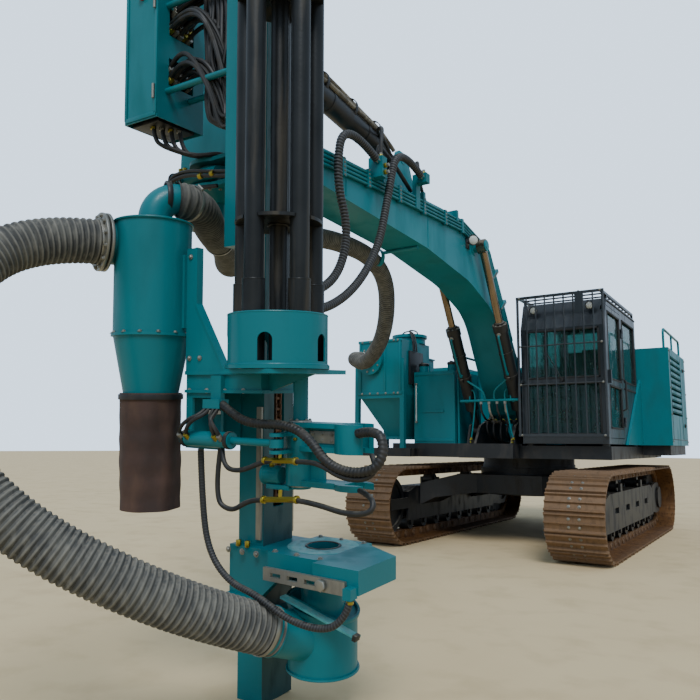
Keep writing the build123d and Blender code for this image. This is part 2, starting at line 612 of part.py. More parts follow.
# Routes of the two free hoses between boom and mast head
LOOPS = {
    "a": [(LOOP_X, -4585, 3568), (LOOP_X, -5080, 3730), (LOOP_X, -5180, 3200), (LOOP_X, -4990, 2830),
          (LOOP_X, -5120, 2440), (LOOP_X, -5480, 2220), (LOOP_X, -5870, 2320), (LOOP_X, -5999, 2614)],
    "b": [(LOOP_X + 10, -3785, 3698), (LOOP_X + 10, -4230, 3850), (LOOP_X + 10, -4400, 3300),
          (LOOP_X + 10, -4560, 2780), (LOOP_X + 10, -4960, 2330), (LOOP_X + 10, -5480, 2080),
          (LOOP_X + 10, -5960, 2200), (LOOP_X + 10, -6120, 2614)],
}


def loop_start(name, back):
    p, q = Vector(*LOOPS[name][0]), Vector(*LOOPS[name][1])
    return tuple(p - (q - p).normalized() * back)


def loop_end(name, ahead):
    p, q = Vector(*LOOPS[name][-2]), Vector(*LOOPS[name][-1])
    return tuple(q + (q - p).normalized() * ahead)


# Hydraulic pipes along the boom's left face, in clamps, on down its back to the foot
pipe_run = [(-5430, 3415), (-4550, 3490), (-2620, 3620), (LIFT_TOP_Y + 400, 3490),
            (-1330, 2760), (-1150, 2500)]
pipes, clamps = [], []
for n, drop in enumerate((34, 68, 102, 136)):
    run = offset_route(pipe_run, drop)
    x = BOOM_HALF + 24
    pipes.append(swept([(x, y, z) for y, z in run], PIPE_R, 120))
for share, m in ((0.04, 0), (0.5, 1), (0.93, 0), (0.97, 1), (0.5, 0), (0.25, 1), (0.75, 1), (0.35, 3), (0.8, 3)):
    (y0, z0), (y1, z1) = pipe_run[m], pipe_run[m + 1]
    y, z = y0 + (y1 - y0) * share, z0 + (z1 - z0) * share
    angle = degrees(atan2(z1 - z0, y1 - y0))
    plate = block(BOOM_HALF, BOOM_HALF + 42, -24, 24, -162, -10)
    clamps.append(plate.moved(Location((0, y, z), (angle, 0, 0))))
boom_pipes = fuse(*pipes)
for plate in clamps:
    boom_pipes = boom_pipes + plate
# two bigger pipes along the top and down the boom's back
for n, x in enumerate((40, 110)):
    run = offset_route(pipe_run[1:], -30)
    boom_pipes += swept([(x, y, z) for y, z in run], 17, 140)
for share, m in ((0.1, 1), (0.5, 1), (0.9, 1), (0.35, 3), (0.8, 3)):
    (y0, z0), (y1, z1) = pipe_run[m], pipe_run[m + 1]
    y, z = y0 + (y1 - y0) * share, z0 + (z1 - z0) * share
    angle = degrees(atan2(z1 - z0, y1 - y0))
    boom_pipes += block(10, BOOM_HALF + 42, -22, 22, 10, 54).moved(Location((0, y, z), (angle, 0, 0)))
    leg = block(BOOM_HALF + 0.3, BOOM_HALF + 42, -22, 22, -60, 54)
    boom_pipes += leg.moved(Location((0, y, z), (angle, 0, 0)))
# blocks at the pipes' side where the two free hoses start, each with a ferrule along its hose
boom_pipes += block(BOOM_HALF, LOOP_X + 45, -4560, -4480, 3420, 3600)
boom_pipes += block(BOOM_HALF, LOOP_X + 55, -3760, -3680, 3640, 3730)
boom_pipes += block(BOOM_HALF, BOOM_HALF + 42, -3760, -3680, 3400, 3645)
for name in LOOPS:
    boom_pipes += bar(loop_start(name, 30), loop_start(name, 0), 30)
boom_pipes -= boom
save("boom_pipes", boom_pipes)


# Lift cylinders beside the boom, and the tilt cylinder above it. Each rod's eye is bored wider than its pin
# by the play it needs over the travel.
def cylinder_pair(base, eye, barrel_r, rod_r, barrel_length, half_width, pin_r, play, xs):
    barrels, rods = [], []
    for x in xs:
        p, q = Vector(x, *base), Vector(x, *eye)
        u = (q - p).normalized()
        barrel = bar_x(x - half_width, x + half_width, base[0], base[1], 66)
        barrel += bar(p, p + u * 330, half_width - 2)
        barrel += bar(p + u * 310, p + u * barrel_length, barrel_r)
        barrel += bar(p + u * (barrel_length - 70), p + u * (barrel_length + 20), barrel_r + 9)
        barrel -= bar(p + u * 345, p + u * (barrel_length + 30), rod_r + 0.05)
        barrel -= bar_x(x - half_width - 5, x + half_width + 5, base[0], base[1], pin_r[0] + 0.05)
        rod = bar(p + u * (barrel_length - 500), q - u * (pin_r[1] + play), rod_r)
        rod += bar_x(x - half_width, x + half_width, eye[0], eye[1], 78)
        rod -= bar_x(x - half_width - 5, x + half_width + 5, eye[0], eye[1], pin_r[1] + play)
        barrels.append(barrel)
        rods.append(rod)
    return solids(*barrels), solids(*rods)


lift_barrels, lift_rods = cylinder_pair((LIFT_BASE_Y, LIFT_BASE_Z), (LIFT_TOP_Y, LIFT_TOP_Z), LIFT_BARREL_R,
                                        LIFT_ROD_R, 1390, 44, (34, LIFT_PIN_R), 6, (-LIFT_X, LIFT_X))
save("lift_barrels", lift_barrels)
save("lift_rods", lift_rods)
tilt_barrel, tilt_rod = cylinder_pair((TILT_BASE_Y, TILT_BASE_Z), (TILT_EYE_Y, TILT_EYE_Z), TILT_BARREL_R,
                                      TILT_ROD_R, 1480, 50, (32, TILT_PIN_R), 19, (0,))
save("tilt_barrel", tilt_barrel)
save("tilt_rod", tilt_rod)

# Mast head: tilts on the boom tip and holds the housing of the swing drive
head_plates = []
for s in (-1, 1):
    x0, x1 = sorted((s * (BOOM_HALF + 8), s * (BOOM_HALF + 38)))
    head_plates.append(rounded_x([
        (TIP_Y + 125, TIP_Z - 130, 60), (TIP_Y + 160, TIP_Z + 130, 200), (TILT_EYE_Y + 85, TILT_EYE_Z + 80, 70),
        (TILT_EYE_Y - 85, TILT_EYE_Z + 80, 70), (TIP_Y - 290, TIP_Z + 200, 300), (TIP_Y - 290, 2600, 0),
        (TIP_Y - 60, 2600, 40)], x0, x1))
mast_head = fuse(*head_plates)
mast_head += block(-BOOM_HALF - 38, BOOM_HALF + 38, TIP_Y - 290, TIP_Y - 250, 2600, 3500)
mast_head += bar_x(-BOOM_HALF - 38, BOOM_HALF + 38, TIP_Y, TIP_Z, 40)
mast_head += bar_x(-BOOM_HALF - 38, BOOM_HALF + 38, TILT_EYE_Y, TILT_EYE_Z, TILT_PIN_R)
for s in (-1, 1):
    x0, x1 = sorted((s * 52, s * 64))
    mast_head += bar_x(x0, x1, TILT_EYE_Y, TILT_EYE_Z, 66)
    x0, x1 = sorted((s * (BOOM_HALF + 38), s * (BOOM_HALF + 50)))
    mast_head += bar_x(x0, x1, TIP_Y, TIP_Z, 85) + bar_x(x0, x1, TILT_EYE_Y, TILT_EYE_Z, 66)
# bulkhead for the ends of the two free hoses
mast_head += block(BOOM_HALF + 30, LOOP_X + 60, -6175, -5965, 2630, 2660)
for name in LOOPS:
    mast_head += bar(loop_end(name, 0), loop_end(name, 34), 30)
arm_root = [tilted.to_local_coords(Vector(x, TIP_Y - 255, SWING_W)) for x in (-BOOM_HALF - 38, BOOM_HALF + 38)]
arm_plan = [(arm_root[0].X, arm_root[0].Y), (arm_root[1].X, arm_root[1].Y), (SWING_A + 116, SWING_B + 40),
            (SWING_A + 60, SWING_B - 100), (SWING_A - 80, SWING_B - 90), (SWING_A - 118, SWING_B + 20),
            (arm_root[0].X, arm_root[0].Y - 30)]
housing = prism_z(arm_plan, SWING_W - 45, SWING_W + 40)
housing += bar_z(SWING_W - 50, SWING_W + 45, SWING_A, SWING_B, 124)
# worm housing across the front of the swing drive, with its motor at the left end
worm_b, worm_w = SWING_B - 150, SWING_W - 16
housing += bar((SWING_A - 120, worm_b, worm_w), (SWING_A + 130, worm_b, worm_w), 36)
housing += bar((SWING_A - 215, worm_b, worm_w), (SWING_A - 120, worm_b, worm_w), 44)
housing += block(SWING_A - 90, SWING_A + 90, worm_b, SWING_B - 60, SWING_W - 45, SWING_W + 20)
housing -= bar_z(SWING_W - 400, SWING_W + 400, SWING_A, SWING_B, 60.05)
mast_head += on_mast(housing)
save("mast_head", mast_head)

# Mast carrier: swings on the pin between its two round flanges and guides the feed beam from behind
low_w, top_w = SWING_W - 95, SWING_W + 55
carrier = bar_z(low_w, top_w + 22, SWING_A, SWING_B, 60)
carrier += bar_z(top_w, top_w + 22, SWING_A, SWING_B, 176) + bar_z(low_w, low_w + 27, SWING_A, SWING_B, 176)
carrier += Pos(SWING_A, SWING_B, low_w - 28) * Cone(60, 168, 56)
carrier += bar_z(low_w - 155, low_w - 50, SWING_A, SWING_B, 38)
rear = -BEAM_A / 2
for w0, w1 in ((top_w, top_w + 22), (low_w, low_w + 27)):
    carrier += prism_z([(SWING_A, SWING_B - 150), (rear - 45, SWING_B - 190), (rear - 45, SWING_B + 90),
                        (SWING_A, SWING_B + 150)], w0, w1)
carrier += block(rear - 75, rear - 5, -BEAM_B / 2 - 45, SWING_B + 95, 2150, BOX_W1 - 120)
for b0, b1 in ((SWING_B - 190, SWING_B - 165), (SWING_B + 65, SWING_B + 90)):
    carrier += prism_y([(rear - 60, 2300), (rear - 60, low_w), (-420, low_w)], b0, b1)
    carrier += prism_y([(rear - 60, 3250), (rear - 60, top_w + 22), (-420, top_w + 22)], b0, b1)
for s in (-1, 1):
    b0, b1 = sorted((s * (BEAM_B / 2 + 0.3), s * (BEAM_B / 2 + 45)))
    for w in (2150, 3110):
        carrier += block(rear - 75, 3, b0, b1, w, w + 240)
        carrier += block(rear - 75, rear - 0.3, -BEAM_B / 2, BEAM_B / 2, w, w + 240)
carrier = on_mast(carrier)
save("mast_carrier", carrier)

# Hydraulic valve box, open at the bottom, held off the carrier by two hoops
valve_box = block(BOX_A0, BOX_A1, BOX_B0, BOX_B1, BOX_W0, BOX_W1)
valve_box -= block(BOX_A0 + 6, BOX_A1 - 6, BOX_B0 + 6, BOX_B1 - 6, BOX_W0 - 5, BOX_W1 - 6)
box_height = BOX_W1 - BOX_W0
for w in (BOX_W0 + 0.25 * box_height, BOX_W0 + 0.6 * box_height):
    valve_box -= block(BOX_A1 - 20, BOX_A1 + 5, -60, 120, w, w + 0.19 * box_height)
# the valve block itself hangs inside on the left wall
valve_box += block(BOX_A0 + 5, BOX_A0 + 125, -85, 145, BOX_W0 + 0.11 * box_height, BOX_W1 - 0.25 * box_height)
for w in (BOX_W0 + 0.2 * box_height, BOX_W1 - 0.2 * box_height):
    hoop = swept([(BOX_A1 - 3, -70, w), (rear - 95, -70, w), (rear - 95, 95, w), (BOX_A1 - 3, 95, w)], 17, 60)
    valve_box += hoop + block(rear - 97, rear - 75, -60, 85, w - 24, w + 24)
save("valve_box", on_mast(valve_box))

# Feed beam
beam = block(-BEAM_A / 2, BEAM_A / 2, -BEAM_B / 2, BEAM_B / 2, 0, BEAM_LENGTH)
beam -= block(-BEAM_A / 2 + 14, BEAM_A / 2 - 14, -BEAM_B / 2 + 14, BEAM_B / 2 - 14, 20, BEAM_LENGTH - 20)
beam -= block(BEAM_A / 2 - 20, BEAM_A / 2 + 5, -38, 38, 900, BEAM_LENGTH - 200)
for s in (-1, 1):
    b0, b1 = sorted((s * BEAM_B / 2, s * (BEAM_B / 2 + 14)))
    for w0, w1 in ((TABLE_W + 30, 1375), (1645, BEAM_LENGTH - 100)):
        beam += block(BEAM_A / 2 - 34, BEAM_A / 2 - 4, b0, b1, w0, w1)
beam += block(-BEAM_A / 2 - 40, BEAM_A / 2 + 60, -BEAM_B / 2 - 15, BEAM_B / 2 + 15,
              BEAM_LENGTH, BEAM_LENGTH + 30)
beam += bar_y(-62, 62, BEAM_A / 2 - 20, BEAM_LENGTH + 75, 55)
for s in (-1, 1):
    b0, b1 = sorted((s * 60, s * 75))
    beam += block(BEAM_A / 2 - 60, BEAM_A / 2 + 20, b0, b1, BEAM_LENGTH + 30, BEAM_LENGTH + 130)
save("feed_beam", on_mast(beam))

# Rotary head on its carriage, with two motors and the drive spindle
face = BEAM_A / 2
head = block(face + 0.3, face + 46, -BEAM_B / 2 - 60, BEAM_B / 2 + 60, HEAD_W, HEAD_W + 560)
for s in (-1, 1):
    b0, b1 = sorted((s * (BEAM_B / 2 + 14.3), s * (BEAM_B / 2 + 60)))
    head += block(face - 60, face + 10, b0, b1, HEAD_W + 20, HEAD_W + 540)
head += block(face + 46, DRILL_A + 150, -140, 140, HEAD_W + 120, HEAD_W + 330)
head += bar_z(HEAD_W + 330, HEAD_W + 420, DRILL_A, 0, 110)
for s in (-1, 1):
    head += bar_z(HEAD_W + 330, HEAD_W + 560, DRILL_A - 90, s * 75, 58)
head += bar_z(HEAD_W + 60, HEAD_W + 120, DRILL_A, 0, 120)
head -= bar_z(HEAD_W + 50, HEAD_W + 500, DRILL_A, 0, 50.05)
head += bar_z(HEAD_W + 420, HEAD_W + 450, DRILL_A, 0, 60) \
    - bar_z(HEAD_W + 400, HEAD_W + 460, DRILL_A, 0, 50.05)
save("rotary_head", on_mast(head))
spindle = bar_z(HEAD_W - 120, HEAD_W + 520, DRILL_A, 0, 50)
spindle += bar_z(HEAD_W - 260, HEAD_W - 60, DRILL_A, 0, 62)
spindle += bar_z(HEAD_W - 320, HEAD_W - 260, DRILL_A, 0, 34)
save("spindle", on_mast(spindle))

# Carousel: a collar with arched windows on a base disc, notched spacer plates on a core tube
rod_angles = [2 * pi * n / ROD_COUNT - pi / 2 for n in range(ROD_COUNT)]
rod_places = [(DRUM_A + ROD_CIRCLE * cos(t), DRUM_B + ROD_CIRCLE * sin(t)) for t in rod_angles]
carousel = bar_z(DRUM_W0, DRUM_W1, DRUM_A, DRUM_B, DRUM_R)
carousel -= bar_z(DRUM_W0 + 14, DRUM_W1 + 5, DRUM_A, DRUM_B, DRUM_R - 6)
carousel += bar_z(DRUM_W0 - 16, DRUM_W0, DRUM_A, DRUM_B, DRUM_R + 8)
for t in rod_angles:
    arch = bar_x(DRUM_R - 20, DRUM_R + 20, 0, DRUM_W0 + 95, 30)
    arch += block(DRUM_R - 20, DRUM_R + 20, -30, 30, DRUM_W0 + 14, DRUM_W0 + 95)
    carousel -= arch.moved(Location((DRUM_A, DRUM_B, 0), (0, 0, degrees(t) + 25)))
carousel += bar_z(DRUM_W0 - 16, DRUM_W0 + ROD_LENGTH - 40, DRUM_A, DRUM_B, 38)
for w in (DRUM_W0 + 590, DRUM_W0 + 0.52 * ROD_LENGTH, DRUM_W0 + ROD_LENGTH - 130):
    plate = bar_z(w, w + 14, DRUM_A, DRUM_B, 183)
    for a, b in rod_places:
        plate -= bar_z(w - 5, w + 19, a, b, ROD_R + 3)
        out_a, out_b = DRUM_A + (a - DRUM_A) * 1.25, DRUM_B + (b - DRUM_B) * 1.25
        plate -= bar_z(w - 5, w + 19, out_a, out_b, ROD_R + 3)
    carousel += plate
save("carousel", on_mast(carousel))
rods = []
for a, b in rod_places:
    w0 = DRUM_W0 + 14.3
    rod = bar_z(w0, w0 + ROD_LENGTH, a, b, ROD_R)
    rod += bar_z(w0, w0 + JOINT_LENGTH, a, b, JOINT_R)
    rod += bar_z(w0 + ROD_LENGTH - 90, w0 + ROD_LENGTH, a, b, JOINT_R)
    rods.append(rod - bar_z(w0 - 5, w0 + ROD_LENGTH + 5, a, b, 20))
save("drill_rods", on_mast(solids(*rods)))

# Bracket under the carousel: a box on the beam, its top plate, an end frame and a tall gusset post
BRACKET_W0, BRACKET_W1 = 1442, DRUM_W0 - 18
bracket = block(-190, 260, -350, -BEAM_B / 2, BRACKET_W0, BRACKET_W1 - 18)
bracket -= block(-172, 242, -338, -BEAM_B / 2 - 16, BRACKET_W0 - 5, BRACKET_W1 - 18)
bracket += block(-190, 275, -362, -BEAM_B / 2, BRACKET_W0, BRACKET_W0 + 14) \
    - block(-170, 230, -325, -BEAM_B / 2 - 30, BRACKET_W0 - 5, BRACKET_W0 + 20)
top_plan = [(-190, -362), (-190, -BEAM_B / 2), (120, -BEAM_B / 2), (330, -150), (557, -145), (557, -420),
            (470, -560), (240, -560), (150, -362)]
bracket += prism_z(top_plan, BRACKET_W1 - 18, BRACKET_W1)
bracket += prism_y([(242, BRACKET_W1 - 18), (500, BRACKET_W1 - 18), (242, BRACKET_W0)], -300, -282)
bracket += bar_z(BRACKET_W1, DRUM_W0 - 16.3, DRUM_A, DRUM_B, 60)
# end frame below the box's left part
bracket += block(-190, 30, -350, -335, 1190, BRACKET_W0 + 5) - block(-150, -10, -355, -330, 1245, 1420)
bracket += block(-190, -178, -350, -BEAM_B / 2, 1190, BRACKET_W0 + 5)
bracket += block(-190, -60, -BEAM_B / 2 - 15, -BEAM_B / 2, 1190, BRACKET_W0 + 5)
# gusset post with its flange, and the strap from it to the cyclone
post = [(-190, BRACKET_W1 - 5), (-190, 2110), (-120, 2110), (-120, 1850), (65, BRACKET_W1 - 5)]
bracket += prism_y(post, -356, -344)
bracket += prism_y([(-132, 2110), (-120, 2110), (-120, 1850), (65, BRACKET_W1 - 5), (53, BRACKET_W1 - 5),
                    (-132, 1846)], -362, -322)
# tube that carries the transfer arm
bracket += bar_z(1060, BRACKET_W1 - 5, ARM_A, ARM_B, ARM_TUBE_R) + bar_z(1044, 1060, ARM_A, ARM_B, 46)
# cylinder of the transfer arm: its barrel is held by two lugs on the end frame
ARM_CYL_B, ARM_CYL_W = ARM_B - 133, 1240
bracket += bar((-150, ARM_CYL_B, ARM_CYL_W), (140, ARM_CYL_B, ARM_CYL_W), 35)
bracket += bar((130, ARM_CYL_B, ARM_CYL_W), (ARM_A - 44, ARM_CYL_B, ARM_CYL_W), 16)
bracket += bar_z(ARM_CYL_W - 17, ARM_CYL_W + 17, ARM_A - 22, ARM_CYL_B, 30) \
    - bar_z(ARM_CYL_W - 25, ARM_CYL_W + 25, ARM_A - 22, ARM_CYL_B, 14)
for a in (-140, 0):
    bracket += block(a, a + 20, ARM_CYL_B, -345, ARM_CYL_W - 30, ARM_CYL_W + 30)
save("carousel_bracket", on_mast(bracket))

# Transfer arm on its upright pivot, with open jaws at its end
REACH = hypot(DRILL_A - ARM_A, ARM_B)
arm = bar_z(1060.3, 1320, ARM_A, ARM_B, 62)
arm += block(ARM_A + 45, ARM_A + REACH - 60, ARM_B - 14, ARM_B + 14, 1205, 1323)
for w0, w1 in ((1205, 1225), (1303, 1323)):
    arm += block(ARM_A, ARM_A + REACH - 40, ARM_B - 52, ARM_B + 52, w0, w1)
arm += bar_z(1205, 1323, ARM_A + REACH, ARM_B, 80)
arm -= bar_z(1225, 1303, ARM_A + REACH, ARM_B, 62)
arm -= bar_z(1200, 1330, ARM_A + REACH, ARM_B, JOINT_R + 3)
arm -= block(ARM_A + REACH, ARM_A + REACH + 90, ARM_B - 42, ARM_B + 42, 1200, 1330)
# lower cast plate with the arm's rod guide
arm += block(ARM_A, ARM_A + REACH - 20, ARM_B - 48, ARM_B + 48, 1060.3, 1085)
arm += bar_z(1060.3, 1085, ARM_A + REACH, ARM_B, 80) - bar_z(1055, 1090, ARM_A + REACH, ARM_B, JOINT_R + 3) \
    - block(ARM_A + REACH, ARM_A + REACH + 90, ARM_B - 42, ARM_B + 42, 1055, 1090)
arm += block(ARM_A + 50, ARM_A + 130, ARM_B - 8, ARM_B + 8, 1080, 1210)
# ears above and below the eye of its cylinder
for w0, w1 in ((ARM_CYL_W - 42, ARM_CYL_W - 28), (ARM_CYL_W + 28, ARM_CYL_W + 42)):
    arm += block(ARM_A - 50, ARM_A + 10, ARM_CYL_B, ARM_B, w0, w1) + bar_z(w0, w1, ARM_A - 22, ARM_CYL_B, 30)
    arm -= bar_z(w0 - 5, w1 + 5, ARM_A - 22, ARM_CYL_B, 14)
arm -= bar_z(1050, 1330, ARM_A, ARM_B, ARM_TUBE_R + 0.3)
save("transfer_arm", on_mast(arm))

# Clamp table: a plate round the beam on gussets, a bolted guide plate, and a cover at its right end
table = block(-BEAM_A / 2 - 20, DRILL_A + 140, -150, 150, TABLE_W - 40, TABLE_W)
table -= block(-BEAM_A / 2, BEAM_A / 2, -BEAM_B / 2, BEAM_B / 2, TABLE_W - 50, TABLE_W + 5)
for s in (-1, 1):
    b0, b1 = sorted((s * 150, s * 132))
    table += prism_y([(-95, TABLE_W - 220), (90, TABLE_W - 220), (260, TABLE_W - 60), (DRILL_A + 140, TABLE_W - 60),
                      (DRILL_A + 140, TABLE_W), (-95, TABLE_W)], b0, b1)
    c0, c1 = sorted((s * BEAM_B / 2, s * 134))
    table += block(-60, 60, c0, c1, TABLE_W - 200, TABLE_W)
    f0, f1 = sorted((s * 132, s * 175))
    table += prism_y([(-95, TABLE_W - 232), (94, TABLE_W - 232), (267, TABLE_W - 67), (DRILL_A + 140, TABLE_W - 67),
                      (DRILL_A + 140, TABLE_W - 55), (262, TABLE_W - 55), (89, TABLE_W - 220),
                      (-95, TABLE_W - 220)], f0, f1)
guide = prism_z([(200, -225), (500, -225), (500, 165), (200, 165)], TABLE_W, TABLE_W + 16)
table += guide
table += block(200, 500, -225, -140, TABLE_W - 70, TABLE_W)
cover_plan = [(480, -275), (705, -275), (712, 15), (480, 143)]
cover_inner = [(488, -267), (697, -267), (704, 10), (488, 131)]
table += prism_z(cover_plan, TABLE_W - 80, TABLE_W + 18) - prism_z(cover_inner, TABLE_W - 85, TABLE_W + 10)
table += bar_y(-300, -270, DRILL_A + 200, TABLE_W - 58, 16)
table -= bar_z(TABLE_W - 90, TABLE_W + 30, DRILL_A, 0, GUIDE_BORE_R)
# fitting on the cover's front for the clamp cylinder's hose
table += block(662, 700, -325, -275, TABLE_W - 89, TABLE_W - 45)
table += bar((679.8, -300.8, TABLE_W - 98), (682.5, -299, TABLE_W - 80), 14)
save("clamp_table", on_mast(table))

wrench = block(230, 650, -292, -276, TABLE_W - 86, TABLE_W - 31)
for a in (270, 360, 450):
    wrench -= block(a, a + 55, -300, -270, TABLE_W - 68, TABLE_W - 50)
wrench -= bar_y(-300, -265, DRILL_A + 200, TABLE_W - 58, 16.05)
save("wrench_bar", on_mast(wrench))

# Suction hood: a drum with a slanted top round the hole, a riser to the table and a branch for the duct
HOOD_R = 158
slant = [(DRILL_A - 240, 537.1), (DRILL_A + 280, 411.2)]
below = prism_y([(slant[0][0], 190), (slant[1][0], 190), slant[1], slant[0]], -220, 220)
below_in = below.moved(Location((0, 0, -8)))
shell = (bar_z(205, 600, DRILL_A, 0, HOOD_R) & below) + (bar_z(440, TABLE_W - 40, DRILL_A, 0, 100) - below_in)
branch_start, branch_end = (DRILL_A - 10, -30, 330), (DRILL_A - 90.3, -297.6, 439.2)
shell += bar(branch_start, branch_end, 100)
shell += bar_z(205, 215, DRILL_A, 0, HOOD_R + 8)
shell += block(BEAM_A / 2, DRILL_A - 120, -60, 60, 290, 430)
shell -= bar_z(200, 600, DRILL_A, 0, HOOD_R - 5) & below_in
shell -= bar_z(190, TABLE_W, DRILL_A, 0, 94)
branch_far = (DRILL_A - 117.1, -386.8, 475.6)
shell -= bar(branch_start, branch_far, 94)
save("suction_hood", on_mast(shell))

# Cyclone: drum, ring, cone, tangential inlet, top elbow with its collar, and the discharge sleeve
cyc = bar_z(1710, CYCLONE_TOP, CYCLONE_A, CYCLONE_B, CYCLONE_R)
cyc += Pos(CYCLONE_A, CYCLONE_B, 1568) * Cone(124, CYCLONE_R, 290)
cyc += bar_z(1703, 1717, CYCLONE_A, CYCLONE_B, CYCLONE_R + 8) + bar_z(1410, 1440, CYCLONE_A, CYCLONE_B, 137.7)
INLET_A, INLET_B, INLET_W = -0.3446, -0.9387, 2142


def inlet_point(s):
    """A point a run s along the inlet's axis, which passes the drum's own axis at 78 mm."""
    return (CYCLONE_A - 73 + INLET_A * s, CYCLONE_B + 27 + INLET_B * s, INLET_W)


cyc += bar(inlet_point(20), inlet_point(230), 100)
lift_path = FilletPolyline((CYCLONE_A, CYCLONE_B, CYCLONE_TOP - 10), (CYCLONE_A, CYCLONE_B, 2375),
                           (CYCLONE_A + 75, CYCLONE_B + 130, 2375), radius=112)
cyc += sweep(Plane(origin=lift_path @ 0, z_dir=lift_path % 0) * Circle(75), path=lift_path)
strap = block(CYCLONE_A + CYCLONE_R - 30, -190, -372, -344, 1740, 2080)
cyc += strap
cyc -= bar_z(1714, CYCLONE_TOP - 5, CYCLONE_A, CYCLONE_B, CYCLONE_R - 5)
cyc -= Pos(CYCLONE_A, CYCLONE_B, 1568) * Cone(119, CYCLONE_R - 5, 292)
cyc -= bar_z(1400, 1450, CYCLONE_A, CYCLONE_B, 119)
cyc -= bar(inlet_point(20), inlet_point(240), 94)
inner_path = FilletPolyline((CYCLONE_A, CYCLONE_B, CYCLONE_TOP - 40), (CYCLONE_A, CYCLONE_B, 2375),
                            (CYCLONE_A + 80, CYCLONE_B + 138.7, 2375), radius=112)
cyc -= sweep(Plane(origin=inner_path @ 0, z_dir=inner_path % 0) * Circle(70), path=inner_path)
save("cyclone", on_mast(cyc))
sleeve = bar_z(912, 1440, CYCLONE_A, CYCLONE_B, 142) - bar_z(905, 1445, CYCLONE_A, CYCLONE_B, 138)
save("discharge_sleeve", on_mast(sleeve))

# Suction duct from the hood's branch, out in front of the mast and up to the cyclone's inlet
feed_points = [inlet_point(185), inlet_point(700),
               (CYCLONE_A - 190, CYCLONE_B - 940, 1500), (CYCLONE_A + 60, CYCLONE_B - 860, 1040),
               (DRILL_A - 213, -707, 606.4), (DRILL_A - 78.3, -257, 422.4)]
save("dust_duct_feed", on_mast(duct(feed_points, FEED_DUCT_R, 100.3, [260, 330, 420, 420])))

# Dust duct from the cyclone's elbow, under the boom's tip, along its right side and down to the collector
start = [mast_point(CYCLONE_A + dx, CYCLONE_B + dy, w) for dx, dy, w in
         ((52, 90, 2375), (110, 190, 2375), (-200, 590, 2330), (-400, 930, 2330))]
boom_points = start + [(-150, -5850, 2380), (DUCT_X, -5300, 2740), (DUCT_X, -4500, 3045), (DUCT_X, -3350, 3045),
                       (-640, -2760, 2470), (-1220, -2260, 2130), (-1570, -2120, 2290), (-1570, -1690, 2290)]
print("duct corners", [tuple(round(c) for c in p) for p in boom_points])
save("dust_duct_boom", duct(boom_points, DUCT_R, DUCT_R - 4,
                            [90, 200, 250, 260, 400, 600, 350, 400, 200, 120]))

# Hoses that hang free between the boom and the mast head, and one down the mast to the clamp cylinder.
# columns: node name, radius, least bend radius in diameters, route

CLAMP_ROUTE = [(-100, -342.5, 1189), (-95, -335, 960), (-60, -330, 740), (70, -335, 620), (250, -345, 592),
               (420, -350, 520), (600, -335, 510), (670, -308, 576), (679.5, -301, TABLE_W - 102)]
hoses = [
    ("hose_loop_a", 35, 3, LOOPS["a"]),
    ("hose_loop_b", 35, 3, LOOPS["b"]),
    ("clamp_hose", 15, 3, [mast_point(*q) for q in CLAMP_ROUTE]),
]
for name, radius, least, points in hoses:
    radii = turn_radii(points, radius, least)
    length = sum((Vector(*q) - Vector(*p)).length for p, q in zip(points, points[1:]))
    print(name, "radii", radii, "runs", round(length))
    print("route", [tuple(round(c, 1) for c in p) for p in points])
    save(name, swept(points, radius, radii))
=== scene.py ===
"""Looks of a tracked down-the-hole drilling rig, built around the fixed frame in Blender."""

import logging
import math
import random
from dataclasses import dataclass, field
from enum import Enum
from typing import Callable, Sequence

import bmesh
import bpy
from bpy.types import ID, Material, Mesh, Node, NodeSocket, NodeTree, Object
from mathutils import Matrix, Vector


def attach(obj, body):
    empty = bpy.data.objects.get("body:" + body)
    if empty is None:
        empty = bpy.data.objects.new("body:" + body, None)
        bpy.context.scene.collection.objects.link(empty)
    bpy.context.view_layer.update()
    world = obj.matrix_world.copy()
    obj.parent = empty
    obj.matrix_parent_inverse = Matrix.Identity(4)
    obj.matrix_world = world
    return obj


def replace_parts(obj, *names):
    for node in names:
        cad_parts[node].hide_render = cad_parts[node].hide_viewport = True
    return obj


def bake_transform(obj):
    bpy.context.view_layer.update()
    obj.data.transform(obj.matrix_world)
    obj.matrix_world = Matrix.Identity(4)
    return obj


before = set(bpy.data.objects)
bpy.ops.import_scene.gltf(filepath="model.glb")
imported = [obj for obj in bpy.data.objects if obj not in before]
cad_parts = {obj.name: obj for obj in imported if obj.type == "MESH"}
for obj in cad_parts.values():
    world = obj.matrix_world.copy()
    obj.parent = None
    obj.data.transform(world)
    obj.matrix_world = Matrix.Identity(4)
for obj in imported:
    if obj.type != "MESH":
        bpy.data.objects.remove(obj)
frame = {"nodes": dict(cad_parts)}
LOG = logging.getLogger("rig")
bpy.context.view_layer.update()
ROCK_DUST = "#a39a88"
# how much finer dirt and dust specks are than the patches of a finish
DIRT_FINER, SPECK_FINER = 3.1, 6.0
PLEAT_SEED, BUNDLE_SEED, TURN_SEED = 5, 21, 3
ANY_TURN = 6.28

Point = Sequence[float]
Spots = list[tuple[Point, Point]]
# facings, in the rig's axes or the mast's own
UP, DOWN, FRONT, LEFT = (0, 0, 1), (0, 0, -1), (0, -1, 0), (1, 0, 0)
SHARP_EDGE = math.radians(35)
BEVELLED_EDGE = math.radians(50)
# the mast's own axes: a to the drilling side, b rearward, w up from its foot
MAST = Matrix(((0.99912, 0.00321, 0.04175, 0.870), (0.0, 0.99705, -0.07672, -6.570),
               (-0.04188, 0.07665, 0.99618, 0.0), (0, 0, 0, 1)))
WORLD = Matrix.Identity(4)
# the carousel's and the cyclone's axes in the mast's own frame
DRUM, CYCLONE = (0.362, -0.366), (-0.380, -0.393)


